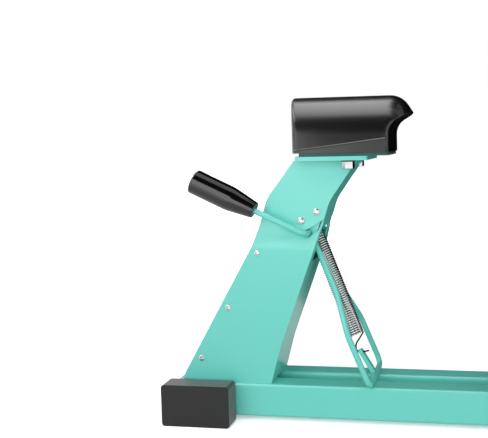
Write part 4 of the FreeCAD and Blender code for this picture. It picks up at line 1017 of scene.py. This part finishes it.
@dataclass(frozen=True)
class Camera:
    """The photograph's viewpoint, found from the places of the press's known corners in the picture."""

    at: Point = (340.4, -882.6, 339.8)
    azimuth: float = 9.95
    elevation: float = 3.32
    roll: float = -1.33
    focal_px: float = 740.2
    shift: Flat = (-0.225, -0.08)
    picture_width_px: float = 488.0
    sensor: float = 36.0

    def build(self) -> None:
        """Builds the camera and makes it the scene's own."""
        data = bpy.data.cameras.new("Camera")
        data.sensor_width, data.sensor_fit = self.sensor, "HORIZONTAL"
        data.lens = self.focal_px * self.sensor / self.picture_width_px
        data.shift_x, data.shift_y = self.shift
        data.clip_start, data.clip_end = 0.01, 50.0
        camera = linked("Camera", data)
        turn, tilt, spin = (math.radians(angle) for angle in (self.azimuth, self.elevation, self.roll))
        back = Vector((math.sin(turn) * math.cos(tilt), -math.cos(turn) * math.cos(tilt), math.sin(tilt)))
        right = Vector((math.cos(turn), math.sin(turn), 0))
        up = back.cross(right)
        side = right * math.cos(spin) + up * math.sin(spin)
        top = up * math.cos(spin) - right * math.sin(spin)
        pose = Matrix((side, top, back)).transposed().to_4x4()
        pose.translation = place(*self.at)
        camera.matrix_world = pose
        bpy.context.scene.camera = camera


@dataclass
class Studio:
    """The pale floor, the white surroundings, the lamps and the cards that gloss reflects.

    The floor's own size and its glow's reach are in metres.
    """

    floor_size: float = 12.0
    floor_colour: float = 0.75
    floor_seen: float = 1.6
    floor_roughness: float = 0.9
    glow_near: float = 0.3
    glow_from: float = 0.55
    glow_to: float = 1.6
    ambient: float = 0.4
    white: float = 1.0

    def build(self) -> None:
        """Builds the floor, the world, the lamps and the cards."""
        self.floor()
        self.world()
        self.lamp("Front fill", (-60, -1500, 720), (170, 0, 260), (2200, 1300), 13.0, mirrored=False)
        self.lamp("Key softbox", (60, -560, 1230), (170, 0, 330), (1100, 380), 2.0, mirrored=False)
        self.lamp("Right fill", (1500, -400, 130), (160, 0, 200), (900, 240), 2.6, mirrored=False)
        overhead = self.lamp("Overhead softbox", (60, -60, 1270), (60, 10, 380), (560, 1150), 7.2)
        overhead.visible_diffuse = False
        self.shield(overhead, "lever_grip")
        self.card("Front card", (-1100, -2200, 200), (800, -2200, 2100))
        self.card("Back card", (-270, 700, 0), (3000, 700, 1900))
        self.card("Floor card", (0, 400, 2), (1500, 700, 2))
        self.card("Roof card", (-1100, -2200, 1500), (1200, -400, 1500))
        self.card("Grip card", (-110, -250, 300), (110, -250, 172), (165, -250, 276), (80, -250, 325),
                  (80, -250, 372), (-30, -250, 436), glow=2.4)
        self.card("Wire card", (-1000, -900, 1270), (-380, 150, 1270), glow=6.0)
        bpy.context.scene.view_settings.view_transform = "Standard"

    def floor(self) -> None:
        """Builds a white floor that keeps the object's shadow and fades into the white surroundings."""
        body = bmesh.new()
        bmesh.ops.create_grid(body, x_segments=1, y_segments=1, size=self.floor_size / 2)
        paint = bpy.data.materials.new("Studio floor")
        graph = with_nodes(paint)
        nodes = graph.tree.nodes
        rays = graph.add("LightPath").outputs
        tone = graph.add("MapRange", {
            "Value": rays["Is Camera Ray"], "To Min": self.floor_colour, "To Max": self.floor_seen})
        away = graph.vector("LENGTH", graph.add("TexCoord").outputs["Object"])
        level = graph.add("MapRange", {
            "Value": away, "From Min": self.glow_from, "From Max": self.glow_to,
            "To Min": self.glow_near, "To Max": self.white}, interpolation_type="SMOOTHSTEP")
        strength = graph.math("MULTIPLY", self.seen_white(graph, rays), level.outputs["Result"])
        glow = graph.add("Emission", {"Strength": strength})
        shader = graph.feed(nodes["Principled BSDF"], {
            "Base Color": tone.outputs["Result"], "Roughness": self.floor_roughness,
            "Specular IOR Level": 0.0})
        total = graph.add("AddShader", {0: shader.outputs[0], 1: glow.outputs[0]})
        graph.feed(nodes["Material Output"], {"Surface": total.outputs[0]})
        self.stage_piece("Floor", body, paint)

    @staticmethod
    def stage_piece(name: str, body: BMesh, face: Material) -> Object:
        """Turns a bmesh into an object of the stage with its material, and returns it."""
        piece = linked(name, mesh_of(name, body))
        piece.data.materials.append(face)
        return piece

    @staticmethod
    def seen_white(graph: Graph, rays: bpy_prop_collection) -> NodeSocket:
        """Returns a socket that is 1 for the camera, reflections and glass, and 0 for other light."""
        last = rays["Is Camera Ray"]
        for name in ("Is Glossy Ray", "Is Transmission Ray"):
            last = graph.math("MAXIMUM", last, rays[name])
        return last

    def world(self) -> None:
        """Builds surroundings that light softly, and show white to the camera and in reflections."""
        world = bpy.data.worlds.new("Studio")
        bpy.context.scene.world = world
        graph = with_nodes(world)
        seen = self.seen_white(graph, graph.add("LightPath").outputs)
        level = graph.add("MapRange", {"Value": seen, "To Min": self.ambient, "To Max": self.white})
        graph.feed(graph.tree.nodes["Background"], {
            "Color": (1, 1, 1, 1), "Strength": level.outputs["Result"]})

    @staticmethod
    def lamp(name: str, at: Point, aim: Point, size: Flat, power: float, mirrored: bool = True
             ) -> Object:
        """Builds one rectangular soft lamp.

        Args:
            name: The lamp's name.
            at: Its middle, in millimetres.
            aim: The point that it faces, in millimetres.
            size: Its two sides, in millimetres.
            power: Its power in watts.
            mirrored: Whether gloss reflects it.

        Returns:
            The lamp.
        """
        data = bpy.data.lights.new(name, "AREA")
        data.shape, data.size, data.size_y = "RECTANGLE", size[0] * MM, size[1] * MM
        data.energy = power
        lamp = linked(name, data)
        where = place(*at)
        lamp.matrix_world = pointing(where - place(*aim), where)
        lamp.visible_glossy = mirrored
        return lamp

    @staticmethod
    def shield(lamp: Object, start: str) -> None:
        """Keeps a lamp's light off the pieces whose names begin with start."""
        spared = bpy.data.collections.new(f"{lamp.name} spares")
        for piece in bpy.data.objects:
            if piece.name.startswith(start):
                spared.objects.link(piece)
        for row in spared.collection_objects:
            row.light_linking.link_state = "EXCLUDE"
        lamp.light_linking.receiver_collection = spared

    def card(self, name: str, *corners: Point, glow: float = 0.0) -> None:
        """Builds a black or glowing card that only reflections see, as a photographer sets beside gloss.

        Args:
            name: The card's name.
            corners: Its corners in order, or two opposite ones of an upright or level oblong.
            glow: How bright it is, where 1 is white.
        """
        if len(corners) == 2:
            low, high = corners
            corners = (low, (high[0], *low[1:]), high, (low[0], *high[1:]))
        body = bmesh.new()
        body.faces.new([body.verts.new(place(*corner)) for corner in corners])
        face = bpy.data.materials.new(name)
        graph = with_nodes(face)
        graph.feed(graph.tree.nodes["Principled BSDF"], {
            "Base Color": (0.0, 0.0, 0.0, 1.0), "Specular IOR Level": 0.0,
            "Emission Color": (1.0, 1.0, 1.0, 1.0), "Emission Strength": glow})
        card = self.stage_piece(name, body, face)
        for kind in ("camera", "diffuse", "transmission", "volume_scatter", "shadow"):
            setattr(card, f"visible_{kind}", False)


def main() -> None:
    """Dresses the whole press, then sets the camera and the studio."""
    logging.basicConfig(level=logging.INFO, format="%(name)s %(message)s")
    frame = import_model()
    Camera().build()
    for kind in (BaseFrame, Stand, LowerPlaten, Tensioner, HingeTower, UpperArm, UpperPlaten, ControlBox):
        part = kind(frame)
        part.build()
        for name in part.made:
            LOG.info("%s: %s", kind.__name__, name)
    Studio().build()


if __name__ == "__main__":
    main()
